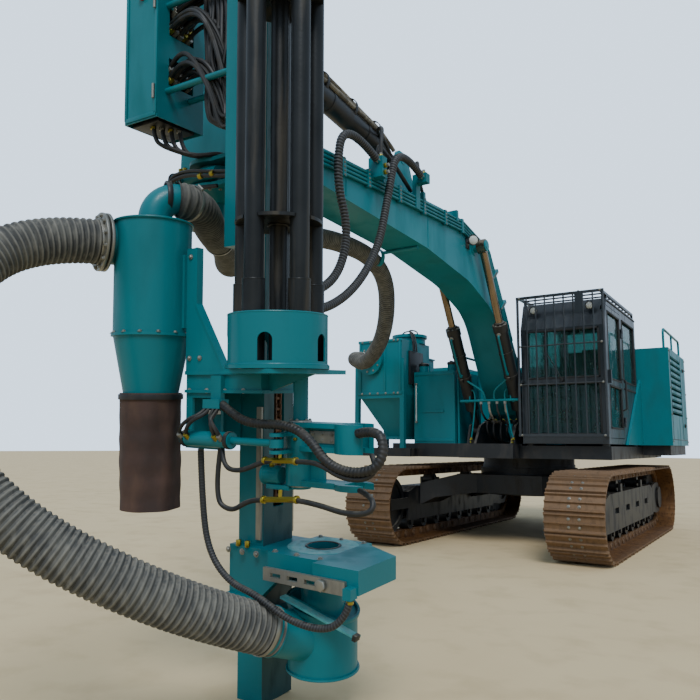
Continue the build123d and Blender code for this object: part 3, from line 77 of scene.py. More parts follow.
def linear(code: str) -> tuple[float, float, float, float]:
    """Turn an sRGB hex colour into linear values.

    Args:
        code: a colour such as "#00858f".

    Returns:
        Red, green, blue and alpha in linear light.
    """
    values = [int(code[i:i + 2], 16) / 255 for i in (1, 3, 5)]
    out = [v / 12.92 if v <= 0.04045 else ((v + 0.055) / 1.055) ** 2.4 for v in values]
    return (out[0], out[1], out[2], 1.0)


def live(sockets: Sequence[NodeSocket], label: str) -> NodeSocket:
    """Pick the socket of a name that the node's data type has switched on.

    Args:
        sockets: a node's inputs or outputs.
        label: the socket's name.

    Returns:
        The enabled socket.
    """
    return next(s for s in sockets if s.name == label and s.enabled)


class Tree:
    """Adds nodes to a tree and sets or links their inputs."""

    def __init__(self, tree: NodeTree) -> None:
        self.nodes, self.links = tree.nodes, tree.links

    def add(self, kind: str, values: dict[str | int, object] | None = None, **options: str) -> Node:
        """Add a node.

        Args:
            kind: its type.
            values: what feed gives its inputs.
            options: its own settings.

        Returns:
            The new node.
        """
        node = self.nodes.new(kind)
        for key, value in options.items():
            setattr(node, key, value)
        self.feed(node, values or {})
        return node

    def feed(self, node: Node, values: dict[str | int, object]) -> None:
        """Set a node's inputs, and link those whose value is a socket.

        Args:
            node: the node.
            values: input name or number to its value.
        """
        for key, value in values.items():
            socket = node.inputs[key] if isinstance(key, int) else live(node.inputs, key)
            if isinstance(value, NodeSocket):
                self.links.new(value, socket)
            else:
                socket.default_value = value


class Coat(Enum):
    """The kinds of surface the rig shows."""

    PAINT = "paint"
    STEEL = "steel"
    RUBBER = "rubber"
    GLASS = "glass"


@dataclass(frozen=True)
class Finish:
    """One procedural surface, laid out on object coordinates."""

    name: str
    base: str
    second: str
    slot: str = "teal_paint"
    coat: Coat = Coat.PAINT
    rough: float = 0.4
    metal: float = 0.0
    clear: float = 0.0
    patch: float = 6.0
    patch_share: float = 0.3
    grime: str = "#6f665a"
    grime_share: float = 0.25
    edge: str = "#9aa09a"
    edge_share: float = 0.0
    streak: float = 0.35
    shine: float = 0.5
    dust: float = 0.0
    bump: float = 0.02
    grain: float = 90.0
    see_through: float = 0.0

    def build(self) -> Material:
        """Make the material's node tree.

        Returns:
            The finished material.
        """
        made = bpy.data.materials.new(self.name)
        made.use_nodes = True
        tree = Tree(made.node_tree)
        place = tree.add("ShaderNodeTexCoord").outputs["Object"]

        def noise(scale: float, detail: float, stretch: float = 1.0) -> NodeSocket:
            squeeze = {"Vector": place, "Scale": (1.0, 1.0, stretch)}
            at = place if stretch == 1.0 else tree.add("ShaderNodeMapping", squeeze).outputs[0]
            values = {"Vector": at, "Scale": scale, "Detail": detail}
            return tree.add("ShaderNodeTexNoise", values).outputs["Fac"]

        def ramp(source: NodeSocket, low: float = 0.0, high: float = 1.0, first: float = 0.0,
                 last: float = 1.0) -> NodeSocket:
            values = {"Value": source, "From Min": low, "From Max": high, "To Min": first, "To Max": last}
            return tree.add("ShaderNodeMapRange", values).outputs[0]

        def product(first: NodeSocket, second: object) -> NodeSocket:
            return tree.add("ShaderNodeMath", {0: first, 1: second}, operation="MULTIPLY").outputs[0]

        def mix(first: object, second: str, share: NodeSocket, top: float) -> NodeSocket:
            values = {"Factor": product(share, top), "A": first, "B": linear(second)}
            return live(tree.add("ShaderNodeMix", values, data_type="RGBA").outputs, "Result")

        patches = ramp(noise(self.patch, 6.0), 0.42, 0.62)
        dirt = ramp(noise(self.patch * DIRT_FINER, 8.0, self.streak), 0.5, 0.72)
        colour = mix(linear(self.base), self.second, patches, self.patch_share)
        colour = mix(colour, self.grime, dirt, self.grime_share)
        shape = tree.add("ShaderNodeNewGeometry").outputs
        if self.edge_share > 0:
            colour = mix(colour, self.edge, ramp(shape["Pointiness"], 0.53, 0.6), self.edge_share)
        if self.dust > 0:
            upward = tree.add("ShaderNodeSeparateXYZ", {"Vector": shape["Normal"]}).outputs["Z"]
            speck = product(ramp(upward, 0.4, 1.0), ramp(noise(self.patch * SPECK_FINER, 9.0), 0.35, 0.6))
            colour = mix(colour, ROCK_DUST, speck, self.dust)
        surface = {
            "Base Color": colour, "Metallic": self.metal, "Coat Weight": self.clear,
            "Roughness": ramp(dirt, first=self.rough, last=min(1.0, self.rough + 0.3)),
            "Specular IOR Level": self.shine, "Coat Roughness": 0.12}
        if self.coat is Coat.GLASS:
            surface |= {"Transmission Weight": self.see_through, "IOR": 1.3}
        if self.bump > 0:
            relief = {"Strength": 0.25, "Distance": self.bump, "Height": noise(self.grain, 5.0)}
            surface["Normal"] = tree.add("ShaderNodeBump", relief).outputs["Normal"]
        tree.feed(made.node_tree.nodes["Principled BSDF"], surface)
        return made


# alkyd machinery enamel, blue-green, with dust on its upper faces
TEAL = Finish(
    "teal_enamel", "#006b75", "#005f69", clear=0.1, shine=0.25, rough=0.4, patch=1.7, grime="#08474b",
    grime_share=0.3, dust=0.02, bump=0.0015, grain=60)
# the same enamel, older and chalked, on the boom
CHALKED = Finish(
    "chalked_enamel", "#047380", "#0f7c87", clear=0.08, shine=0.3, rough=0.45, patch=1.2, patch_share=0.6,
    grime="#0e545b", grime_share=0.3, dust=0.06, bump=0.0015, grain=50)
# satin black chassis paint under dust
BLACK = Finish(
    "black_chassis", "#0d1116", "#171c22", slot="black_paint", rough=0.45, patch=3, grime="#4d4740",
    grime_share=0.35, dust=0.5, bump=0.002)
# dark grey cab paint
CAB_GREY = Finish(
    "cab_grey", "#1d242a", "#151b20", slot="cab_paint", rough=0.32, clear=0.3, grime="#45464a",
    grime_share=0.2, dust=0.2, bump=0.001)
# rust-filmed manganese steel of the shoes
TRACK = Finish(
    "rusty_shoes", "#5b3c1c", "#755027", slot="track_steel", coat=Coat.STEEL, rough=0.62, metal=0.35,
    patch=9, patch_share=0.7, grime="#23160c", grime_share=0.6, edge="#86705a", edge_share=0.5, bump=0.006,
    grain=45)
# enamel of the guide plate, scuffed pale by rock dust
PALE = Finish(
    "scuffed_enamel", "#3f9298", "#5aa3a6", clear=0.05, rough=0.5, patch=9, patch_share=0.7,
    grime="#1b5f64", grime_share=0.35, dust=0.25, bump=0.0015, grain=40)
# rusty links of the feed chain
RUST = Finish(
    "rusty_chain", "#6b4a33", "#3f3129", slot="bare_steel", coat=Coat.STEEL, rough=0.6, metal=0.4, patch=7,
    patch_share=0.7, grime="#241a15", grime_share=0.5, bump=0.002)
# painted shade: dark enamel of the feed beam's working face, standing in for the shade on that face
SHADED_FACE = Finish(
    "shade_painted_enamel", "#033d42", "#064a50", rough=0.5, patch=4, grime="#14201f", grime_share=0.5,
    bump=0.002)
# mill-scaled drill steel
ROD_STEEL = Finish(
    "drill_steel", "#25282a", "#1b1e20", slot="rod_steel", coat=Coat.STEEL, rough=0.42, metal=0.6, patch=5,
    patch_share=0.8, grime="#5a5346", grime_share=0.6, streak=0.03, bump=0.002, grain=70)
# hard chrome with an oil film
CHROME = Finish(
    "hard_chrome", "#7d6d5b", "#a3937f", slot="bright_rod", coat=Coat.STEEL, rough=0.2, metal=0.9, patch=4,
    grime="#7d6a48", grime_share=0.4, bump=0.0003)
# tinted safety glass
GLASS = Finish(
    "safety_glass", "#6fa7a3", "#6fa7a3", slot="glass", coat=Coat.GLASS, rough=0.02, see_through=0.95,
    bump=0.0)
# black grained cab plastic
TRIM = Finish(
    "cab_plastic", "#17191b", "#1f2224", slot="cab_trim", coat=Coat.RUBBER, rough=0.7, grime="#4a4843",
    bump=0.001)
# red-brown dust sleeve, stained pale by rock dust
SLEEVE = Finish(
    "sleeve_rubber", "#32231f", "#4d362d", slot="sleeve_rubber", coat=Coat.RUBBER, rough=0.75, patch=3,
    patch_share=0.8, grime="#6b5446", grime_share=0.4, bump=0.003, grain=40)
# worn zinc plate
ZINC = Finish(
    "worn_zinc", "#8f8f88", "#75756f", slot="bare_steel", coat=Coat.STEEL, rough=0.38, metal=0.7,
    grime="#55493a", grime_share=0.4, bump=0.001)
# grey canvas of the dust ducts
DUCT = Finish(
    "duct_canvas", "#3c3e3e", "#565753", slot="duct_fabric", coat=Coat.RUBBER, rough=0.9, patch=10,
    patch_share=0.7, grime="#7b7a73", grime_share=0.5, edge="#9f9c92", edge_share=0.75, dust=0.25,
    bump=0.005, grain=60)
# black hose rubber
HOSE = Finish(
    "hose_rubber", "#0f1113", "#1b1e21", slot="hose_rubber", coat=Coat.RUBBER, rough=0.5, patch=8,
    grime="#4a453d", grime_share=0.3, dust=0.25, bump=0.0006)
# black plastic spiral guard, its crests rubbed grey
WRAP = Finish(
    "spiral_guard", "#17191c", "#202327", slot="hose_rubber", coat=Coat.RUBBER, rough=0.55, patch=8,
    grime="#3a3733", grime_share=0.3, edge="#6a6d72", edge_share=0.65, dust=0.2, bump=0.0006)
# hose rubber under a crust of rock dust
DUSTY = Finish(
    "dusty_hose", "#57544d", "#8b8577", slot="hose_rubber", coat=Coat.RUBBER, rough=0.9, patch=14,
    patch_share=0.8, grime="#26251f", grime_share=0.5, dust=0.8, bump=0.004)
# brass hose fittings
BRASS = Finish(
    "brass_fitting", "#a3953a", "#7a6c28", slot="bare_steel", coat=Coat.STEEL, rough=0.3, metal=0.9,
    bump=0.0003)
# red plastic port plug
RED = Finish("red_plug", "#b3231c", "#8d1914", slot="cab_trim", coat=Coat.RUBBER, rough=0.5, bump=0.0004)
# frosted lens of the work lamps
LENS = Finish(
    "lamp_lens", "#e9efec", "#cfd8d6", slot="glass", coat=Coat.GLASS, rough=0.25, see_through=0.4,
    grime_share=0.05, bump=0.0)

NODE_FINISH: dict[str, Finish] = {
    name: finish for finish, names in (
        (BLACK, "carbody track_frames rollers sprockets platform lift_barrels tilt_barrel engine_block"),
        (TRACK, "track_left track_right"), (CAB_GREY, "cab_shell cab_door cab_guard mirror"),
        (GLASS, "cab_glass door_glass"), (TRIM, "cab_interior"), (ROD_STEEL, "drill_rods spindle"),
        (CHROME, "lift_rods tilt_rod"), (SLEEVE, "discharge_sleeve"), (ZINC, "wrench_bar"),
        (CHALKED, "boom"))
    for name in names.split()}


class Paintshop:
    """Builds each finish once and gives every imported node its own."""

    made: dict[str, Material] = {}

    @classmethod
    def get(cls, finish: Finish) -> Material:
        """Build a finish once and hand it out.

        Args:
            finish: the wanted surface.

        Returns:
            Its material.
        """
        if finish.name not in cls.made:
            cls.made[finish.name] = finish.build()
        return cls.made[finish.name]

    @classmethod
    def coat(cls, nodes: dict[str, Object]) -> None:
        """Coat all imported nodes.

        Args:
            nodes: node name to object.
        """
        for name, piece in nodes.items():
            piece.data.materials.clear()
            piece.data.materials.append(cls.get(NODE_FINISH.get(name, TEAL)))
        collar_top, core_foot, core = 1.775, 1.58, 0.05
        cls.second_coat(nodes["carousel"], ROD_STEEL, lambda at, _: at.z > collar_top or (
            math.hypot(at.x - DRUM[0], at.y - DRUM[1]) < core and at.z > core_foot))
        rail, crown, track = 0.1105, 5.75, 0.108
        cls.second_coat(nodes["feed_beam"], ZINC, lambda at, _: abs(at.y) > rail and at.z < crown)
        # painted shade: the beam's faces that look toward +a get the dark enamel that stands in for their
        # shade
        cls.second_coat(nodes["feed_beam"], SHADED_FACE, lambda at, out: out.x > 0.9 and abs(at.y) < track)

    @classmethod
    def second_coat(cls, piece: Object, finish: Finish, rule: Callable[[Vector, Vector], bool]) -> None:
        """Give some faces of a mast node another finish.

        Args:
            piece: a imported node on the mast.
            finish: what those faces get.
            rule: picks faces by centre and normal in the mast's own axes.
        """
        piece.data.materials.append(cls.get(finish))
        slot = len(piece.data.materials) - 1
        back = MAST.inverted()
        turn = back.to_3x3()
        for face in piece.data.polygons:
            if rule(back @ face.center, turn @ face.normal):
                face.material_index = slot


def axes(facing: Point) -> tuple[Vector, Vector, Vector]:
    """Give three unit vectors.

    Args:
        facing: a direction.

    Returns:
        One along it and two across it.
    """
    ahead = Vector(facing).normalized()
    side = ahead.orthogonal().normalized()
    return ahead, side, ahead.cross(side)


def circle(centre: Vector, side: Vector, other: Vector, radii: Sequence[float],
           start: float = 0.0) -> list[Vector]:
    """Set points round a centre.

    Args:
        centre: the middle.
        side: the first way across.
        other: the second way across.
        radii: one radius for each point.
        start: angle of the first point.

    Returns:
        The points.
    """
    turns = [start + 2 * math.pi * n / len(radii) for n in range(len(radii))]
    return [centre + side * r * math.cos(t) + other * r * math.sin(t) for t, r in zip(turns, radii)]


class Piece:
    """Gathers simple forms into one mesh, drawn in its own frame and set in the row frame."""

    def __init__(self, name: str, place: Matrix = WORLD) -> None:
        self.name = name
        self.place = place
        self.verts: list[Vector] = []
        self.faces: list[list[int]] = []
        self.slots: list[int] = []
        self.finishes: list[Finish] = []

    def add(self, verts: Sequence[Vector], faces: Sequence[Sequence[int]], finish: Finish) -> None:
        """Add raw faces.

        Args:
            verts: the new points.
            faces: faces that count from the first new point.
            finish: their surface.
        """
        if finish not in self.finishes:
            self.finishes.append(finish)
        base = len(self.verts)
        self.verts.extend(Vector(v) for v in verts)
        self.faces.extend([i + base for i in face] for face in faces)
        self.slots.extend([self.finishes.index(finish)] * len(faces))

    def box(self, low: Point, high: Point, finish: Finish, spin: Matrix | None = None) -> None:
        """Add a box.

        Args:
            low: its lowest corner.
            high: its highest corner.
            finish: its surface.
            spin: a turn and move for it.
        """
        corners = [Vector((x, y, z)) for x in (low[0], high[0]) for y in (low[1], high[1])
                   for z in (low[2], high[2])]
        if spin is not None:
            corners = [spin @ c for c in corners]
        self.add(
            corners, [(0, 1, 3, 2), (4, 6, 7, 5), (0, 4, 5, 1), (2, 3, 7, 6), (0, 2, 6, 4), (1, 5, 7, 3)],
            finish)

    def skin(self, rings: Sequence[Sequence[Vector]], finish: Finish, caps: bool = True,
             closed: bool = False) -> None:
        """Join rings of points into one surface.

        Args:
            rings: rings of equally many points, in order.
            finish: its surface.
            caps: whether flat faces close its ends.
            closed: whether the last ring joins the first.
        """
        count, sides = len(rings), len(rings[0])
        faces = []
        for n in range(count if closed else count - 1):
            j = (n + 1) % count
            for m in range(sides):
                k = (m + 1) % sides
                faces.append([n * sides + m, n * sides + k, j * sides + k, j * sides + m])
        if caps:
            faces.append(list(range(sides))[::-1])
            faces.append([(count - 1) * sides + m for m in range(sides)])
        self.add([point for ring in rings for point in ring], faces, finish)

    def lathe(self, start: Point, end: Point, rows: Sequence[tuple[float, float]], finish: Finish,
              sides: int = 20) -> None:
        """Add a turned form along an axis.

        Args:
            start: the axis's first point.
            end: its last point.
            rows: pairs of share along the axis and radius.
            finish: its surface.
            sides: faces round it.
        """
        run = Vector(end) - Vector(start)
        _, side, other = axes(run)
        self.skin([circle(Vector(start) + run * share, side, other, [radius] * sides)
                   for share, radius in rows], finish)

    def rod(self, start: Point, end: Point, radius: float, finish: Finish, sides: int = 16) -> None:
        """Add a round bar with slightly broken ends."""
        run = (Vector(end) - Vector(start)).length
        lip = min(0.3, 0.12 * radius / max(run, 1e-4))
        self.lathe(start, end, [(0, radius * 0.9), (lip, radius), (1 - lip, radius), (1, radius * 0.9)],
                   finish, sides)

    def tube(self, points: Sequence[Point], radius: float, finish: Finish, sides: int = 12,
             pitch: float = 0.0, depth: float = 0.0, hollow: bool = False) -> None:
        """Add a tube along points, with spiral ribs where pitch isn't 0.

        Args:
            points: the centre line.
            radius: outer radius.
            finish: its surface.
            sides: faces round it.
            pitch: distance from rib to rib.
            depth: how deep the valleys are.
            hollow: whether its ends stay open.
        """
        points = [Vector(p) for p in points]
        side = axes(points[1] - points[0])[1]
        rings, run = [], 0.0
        for n, at in enumerate(points):
            ahead = (points[min(n + 1, len(points) - 1)] - points[max(n - 1, 0)]).normalized()
            side = (side - ahead * side.dot(ahead)).normalized()
            run += (at - points[max(n - 1, 0)]).length
            radii = [radius] * sides
            if pitch > 0:
                waves = [
                    0.5 - 0.5 * math.cos(2 * math.pi * (run / pitch + m / sides)) for m in range(sides)]
                radii = [radius - depth * wave ** 1.5 for wave in waves]
            rings.append(circle(at, side, ahead.cross(side), radii))
        self.skin(rings, finish, not hollow)

    def ring(self, centre: Point, axis: Point, radius: float, thick: float, finish: Finish, sides: int = 28,
             wide: float = 0.0) -> None:
        """Add a band or a round ring.

        Args:
            centre: its middle.
            axis: the way it faces.
            radius: to the middle of its section.
            thick: half its section.
            finish: its surface.
            sides: steps round it.
            wide: half its width where the section is flat.
        """
        ahead, side, other = axes(axis)
        if wide:
            section = [(thick, -wide * 0.8), (thick, wide * 0.8), (thick * 0.8, wide), (-thick, wide),
                       (-thick, -wide), (thick * 0.8, -wide)]
        else:
            turns = [k * math.pi / 4 for k in range(8)]
            section = [(thick * math.cos(t), thick * math.sin(t)) for t in turns]
        outs = circle(Vector(), side, other, [1.0] * sides)
        self.skin([[Vector(centre) + out * (radius + r) + ahead * h for r, h in section] for out in outs],
                  finish, False, True)

    def hose(self, points: Sequence[Point], radius: float, finish: Finish, gap: float = 0.012,
             sides: int = 9) -> None:
        """Add a smooth hose or pipe on route points.

        Args:
            points: its route.
            radius: outer radius.
            finish: its surface.
            gap: distance between its rings.
            sides: faces round it.
        """
        self.tube(Route(points).even(gap), radius, finish, sides)

    def make(self, body: str | None, bevel: float = 0.0) -> Object:
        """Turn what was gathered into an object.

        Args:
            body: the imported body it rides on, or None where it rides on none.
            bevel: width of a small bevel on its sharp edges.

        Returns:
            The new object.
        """
        mesh = bpy.data.meshes.new(self.name)
        mesh.from_pydata([self.place @ v for v in self.verts], [], self.faces)
        for finish in self.finishes:
            mesh.materials.append(Paintshop.get(finish))
        mesh.polygons.foreach_set("material_index", self.slots)
        mesh.update()
        made = Forge.link(self.name, mesh)
        Forge.outward(mesh)
        if bevel > 0:
            Forge.bevel(made, bevel)
        made.data.polygons.foreach_set("use_smooth", [True] * len(made.data.polygons))
        Forge.finish(made, self.finishes[0].slot, body)
        return made


class Forge:
    """Mesh work shared by the pieces."""

    @staticmethod
    def link(name: str, data: ID) -> Object:
        """Make an object of some data and put it in the scene."""
        made = bpy.data.objects.new(name, data)
        bpy.context.scene.collection.objects.link(made)
        return made

    @staticmethod
    def finish(made: Object, slot: str, body: str | None) -> None:
        """Shade a piece by its edges and let it ride on its body."""
        made.data.set_sharp_from_angle(angle=SHARP_EDGE)
        if body is not None:
            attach(made, body)
        LOG.info("made %s: %d faces on %s", made.name, len(made.data.polygons), body)

    @staticmethod
    def outward(mesh: Mesh) -> None:
        """Turn every closed form's faces outward."""
        work = bmesh.new()
        work.from_mesh(mesh)
        bmesh.ops.recalc_face_normals(work, faces=work.faces)
        work.to_mesh(mesh)
        work.free()

    @staticmethod
    def bevel(piece: Object, width: float) -> None:
        """Break the sharp edges and keep the result as the mesh."""
        tool = piece.modifiers.new("bevel", "BEVEL")
        tool.width, tool.segments, tool.limit_method = width, 2, "ANGLE"
        tool.angle_limit = BEVELLED_EDGE
        Forge.bake(piece)

    @staticmethod
    def read(piece: Object) -> Mesh:
        """Give the evaluated mesh of an object."""
        graph = bpy.context.evaluated_depsgraph_get()
        return bpy.data.meshes.new_from_object(piece.evaluated_get(graph), depsgraph=graph)

    @staticmethod
    def bake(piece: Object) -> None:
        """Put the evaluated mesh in place of the modifiers."""
        baked, old = Forge.read(piece), piece.data
        piece.modifiers.clear()
        piece.data = baked
        bpy.data.meshes.remove(old)


@dataclass
class Route:
    """A smooth line through space, read from one NURBS spline."""

    points: Sequence[Point]
    place: Matrix = field(default_factory=lambda: WORLD.copy())
    step: int = 24

    def line(self) -> list[Vector]:
        """Read the spline's points.

        Returns:
            Points along the smooth line in the row frame.
        """
        data = bpy.data.curves.new("route", "CURVE")
        data.dimensions, data.resolution_u = "3D", self.step
        spline = data.splines.new("NURBS")
        spline.points.add(len(self.points) - 1)
        for socket, at in zip(spline.points, self.points):
            socket.co = (*(self.place @ Vector(at)), 1.0)
        spline.order_u = 3
        spline.use_endpoint_u = True
        carrier = Forge.link("route", data)
        read = Forge.read(carrier)
        found = [v.co.copy() for v in read.vertices]
        bpy.data.objects.remove(carrier)
        bpy.data.curves.remove(data)
        bpy.data.meshes.remove(read)
        return found

    def even(self, gap: float) -> list[Vector]:
        """Read the line again at even steps.

        Args:
            gap: wanted distance between points.

        Returns:
            Evenly spaced points.
        """
        line = self.line()
        runs = [0.0]
        for p, q in zip(line, line[1:]):
            runs.append(runs[-1] + (q - p).length)
        count = max(2, round(runs[-1] / gap))
        out, k = [], 0
        for n in range(count + 1):
            want = runs[-1] * n / count
            while k < len(runs) - 2 and runs[k + 1] < want:
                k += 1
            share = (want - runs[k]) / max(runs[k + 1] - runs[k], 1e-9)
            out.append(line[k].lerp(line[k + 1], min(1.0, share)))
        return out


class Repeat:
    """Sets one small form on many spots with a Geometry Nodes tree."""

    def __init__(self, name: str, model: Piece, finish: Finish) -> None:
        """Build the tree once.

        Args:
            name: name of the pieces it makes.
            model: the small form, drawn round the origin with +Z out of the surface.
            finish: its surface.
        """
        self.name, self.finish = name, finish
        self.model = model.make(None)
        self.tree = bpy.data.node_groups.new(f"repeat_{name}", "GeometryNodeTree")
        face = self.tree.interface
        self.sockets = {}
        for label, kind in (("Geometry", "Geometry"), ("Model", "Object"), ("Size", "Float"),
                            ("Turn", "Float"), ("Seed", "Int"), ("Surface", "Material")):
            socket = face.new_socket(label, in_out="INPUT", socket_type=f"NodeSocket{kind}")
            self.sockets[label] = socket.identifier
        face.new_socket("Geometry", in_out="OUTPUT", socket_type="NodeSocketGeometry")
        tree = Tree(self.tree)
        given = tree.add("NodeGroupInput").outputs
        points = tree.add("GeometryNodeMeshToPoints", {"Mesh": given["Geometry"]})
        facing = tree.add("GeometryNodeInputNamedAttribute", {"Name": "facing"}, data_type="FLOAT_VECTOR")
        align = tree.add(
            "FunctionNodeAlignRotationToVector", {"Vector": live(facing.outputs, "Attribute")}, axis="Z")
        twist = tree.add(
            "FunctionNodeRandomValue", {"Seed": given["Seed"], "Max": given["Turn"]}, data_type="FLOAT")
        spin = tree.add("FunctionNodeAxisAngleToRotation", {"Angle": live(twist.outputs, "Value")})
        turn = tree.add(
            "FunctionNodeRotateRotation", {"Rotation": align.outputs[0], "Rotate By": spin.outputs[0]},
            rotation_space="LOCAL")
        info = tree.add("GeometryNodeObjectInfo", {"Object": given["Model"]})
        copies = {"Points": points.outputs[0], "Instance": info.outputs["Geometry"],
                  "Rotation": turn.outputs[0], "Scale": given["Size"]}
        put = tree.add("GeometryNodeInstanceOnPoints", copies)
        real = tree.add("GeometryNodeRealizeInstances", {"Geometry": put.outputs[0]})
        paint = tree.add(
            "GeometryNodeSetMaterial", {"Geometry": real.outputs[0], "Material": given["Surface"]})
        tree.add("NodeGroupOutput", {"Geometry": paint.outputs[0]})

    def on(self, body: str, label: str, spots: Spots, size: float, place: Matrix = WORLD,
           turn: float = ANY_TURN) -> None:
        """Set the form on spots of one body.

        Args:
            body: the body it rides on.
            label: the piece's own name.
            spots: pairs of place and facing.
            size: scale of the form.
            place: the frame the spots are given in.
            turn: largest random turn about the facing.
        """
        mesh = bpy.data.meshes.new(f"{self.name}_{label}")
        mesh.from_pydata([place @ Vector(p) for p, _ in spots], [], [])
        facing = mesh.attributes.new("facing", "FLOAT_VECTOR", "POINT")
        turned = place.to_3x3()
        facing.data.foreach_set("vector", [c for _, d in spots for c in (turned @ Vector(d)).normalized()])
        made = Forge.link(f"{self.name}_{label}", mesh)
        tool = made.modifiers.new("repeat", "NODES")
        tool.node_group = self.tree
        surface = Paintshop.get(self.finish)
        for key, value in (("Model", self.model), ("Size", size), ("Turn", turn), ("Seed", TURN_SEED),
                           ("Surface", surface)):
            tool[self.sockets[key]] = value
        Forge.bake(made)
        made.data.materials.clear()
        made.data.materials.append(surface)
        made.data.polygons.foreach_set("material_index", [0] * len(made.data.polygons))
        Forge.finish(made, self.finish.slot, body)

    def done(self) -> None:
        """Remove the model that the tree copied."""
        bpy.data.objects.remove(self.model)


def hex_bolt(finish: Finish) -> Piece:
    """Draw a hexagon bolt head on its washer, 1 unit in radius, +Z out of the surface."""
    bolt = Piece("bolt_model")
    bolt.lathe((0, 0, -0.1), (0, 0, 0.25), [(0, 1.45), (0.85, 1.45), (1, 1.3)], finish, 14)
    bolt.lathe((0, 0, 0.2), (0, 0, 0.95), [(0, 1.0), (0.8, 1.0), (1, 0.82)], finish, 6)
    bolt.lathe((0, 0, 0.9), (0, 0, 1.1), [(0, 0.5), (0.7, 0.5), (1, 0.4)], finish, 8)
    return bolt


def ring_spots(centre: Point, axis: Point, radius: float, count: int, start: float = 0.0) -> Spots:
    """Place spots on a circle.

    Args:
        centre: its middle.
        axis: the way every spot faces.
        radius: of the circle.
        count: how many.
        start: angle of the first.

    Returns:
        Pairs of place and facing.
    """
    up, side, other = axes(axis)
    return [(at, up) for at in circle(Vector(centre), side, other, [radius] * count, start)]


@dataclass
class FreeHoses:
    """The hoses that hang free, at their real length, and the pipes' fittings they leave."""

    radius: float = 0.035
    wrap_pitch: float = 0.026
    wrap_depth: float = 0.0065
    gap: float = 0.0042
    small_radius: float = 0.015
    small_pitch: float = 0.013
    small_depth: float = 0.0018
    small_gap: float = 0.0032
    loop_a: tuple[Point, ...] = (
        (0.290, -4.585, 3.568), (0.290, -5.080, 3.730), (0.290, -5.180, 3.200), (0.290, -4.990, 2.830),
        (0.290, -5.120, 2.440), (0.290, -5.480, 2.220), (0.290, -5.870, 2.320), (0.290, -5.999, 2.614))
    loop_b: tuple[Point, ...] = (
        (0.300, -3.785, 3.698), (0.300, -4.230, 3.850), (0.300, -4.400, 3.300), (0.300, -4.560, 2.780),
        (0.300, -4.960, 2.330), (0.300, -5.480, 2.080), (0.300, -5.960, 2.200), (0.300, -6.120, 2.614))
    clamp: tuple[Point, ...] = (
        (-0.100, -0.3425, 1.189), (-0.095, -0.335, 0.960), (-0.060, -0.330, 0.740), (0.070, -0.335, 0.620),
        (0.250, -0.345, 0.592), (0.420, -0.350, 0.520), (0.600, -0.335, 0.510), (0.670, -0.308, 0.576),
        (0.6795, -0.301, 0.627))

    def lay(self, name: str, line: list[Vector], radius: float, pitch: float, depth: float,
            body: str | None) -> Object:
        """Args:
            name: of the new piece, and of the node it stands for after "_look".
            line: the centre line.
            radius: outer radius.
            pitch: of the spiral wrap, or 0.
            depth: of the wrap's valleys.
            body: the body it rides on, or None.

        Returns:
            The hose.
        """
        piece = Piece(f"{name}_look")
        piece.tube(line, radius, WRAP, 16, pitch, depth)
        made = piece.make(body)
        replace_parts(made, name)
        return made

    def build(self) -> None:
        """Lay the three hoses."""
        for name, points in (("hose_loop_a", self.loop_a), ("hose_loop_b", self.loop_b)):
            line = Route(points).even(self.gap)
            made = self.lay(name, line, self.radius, self.wrap_pitch, self.wrap_depth, None)
            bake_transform(made)
        line = Route(self.clamp, MAST).even(self.small_gap)
        self.lay("clamp_hose", line, self.small_radius, self.small_pitch, self.small_depth, "feed_beam")


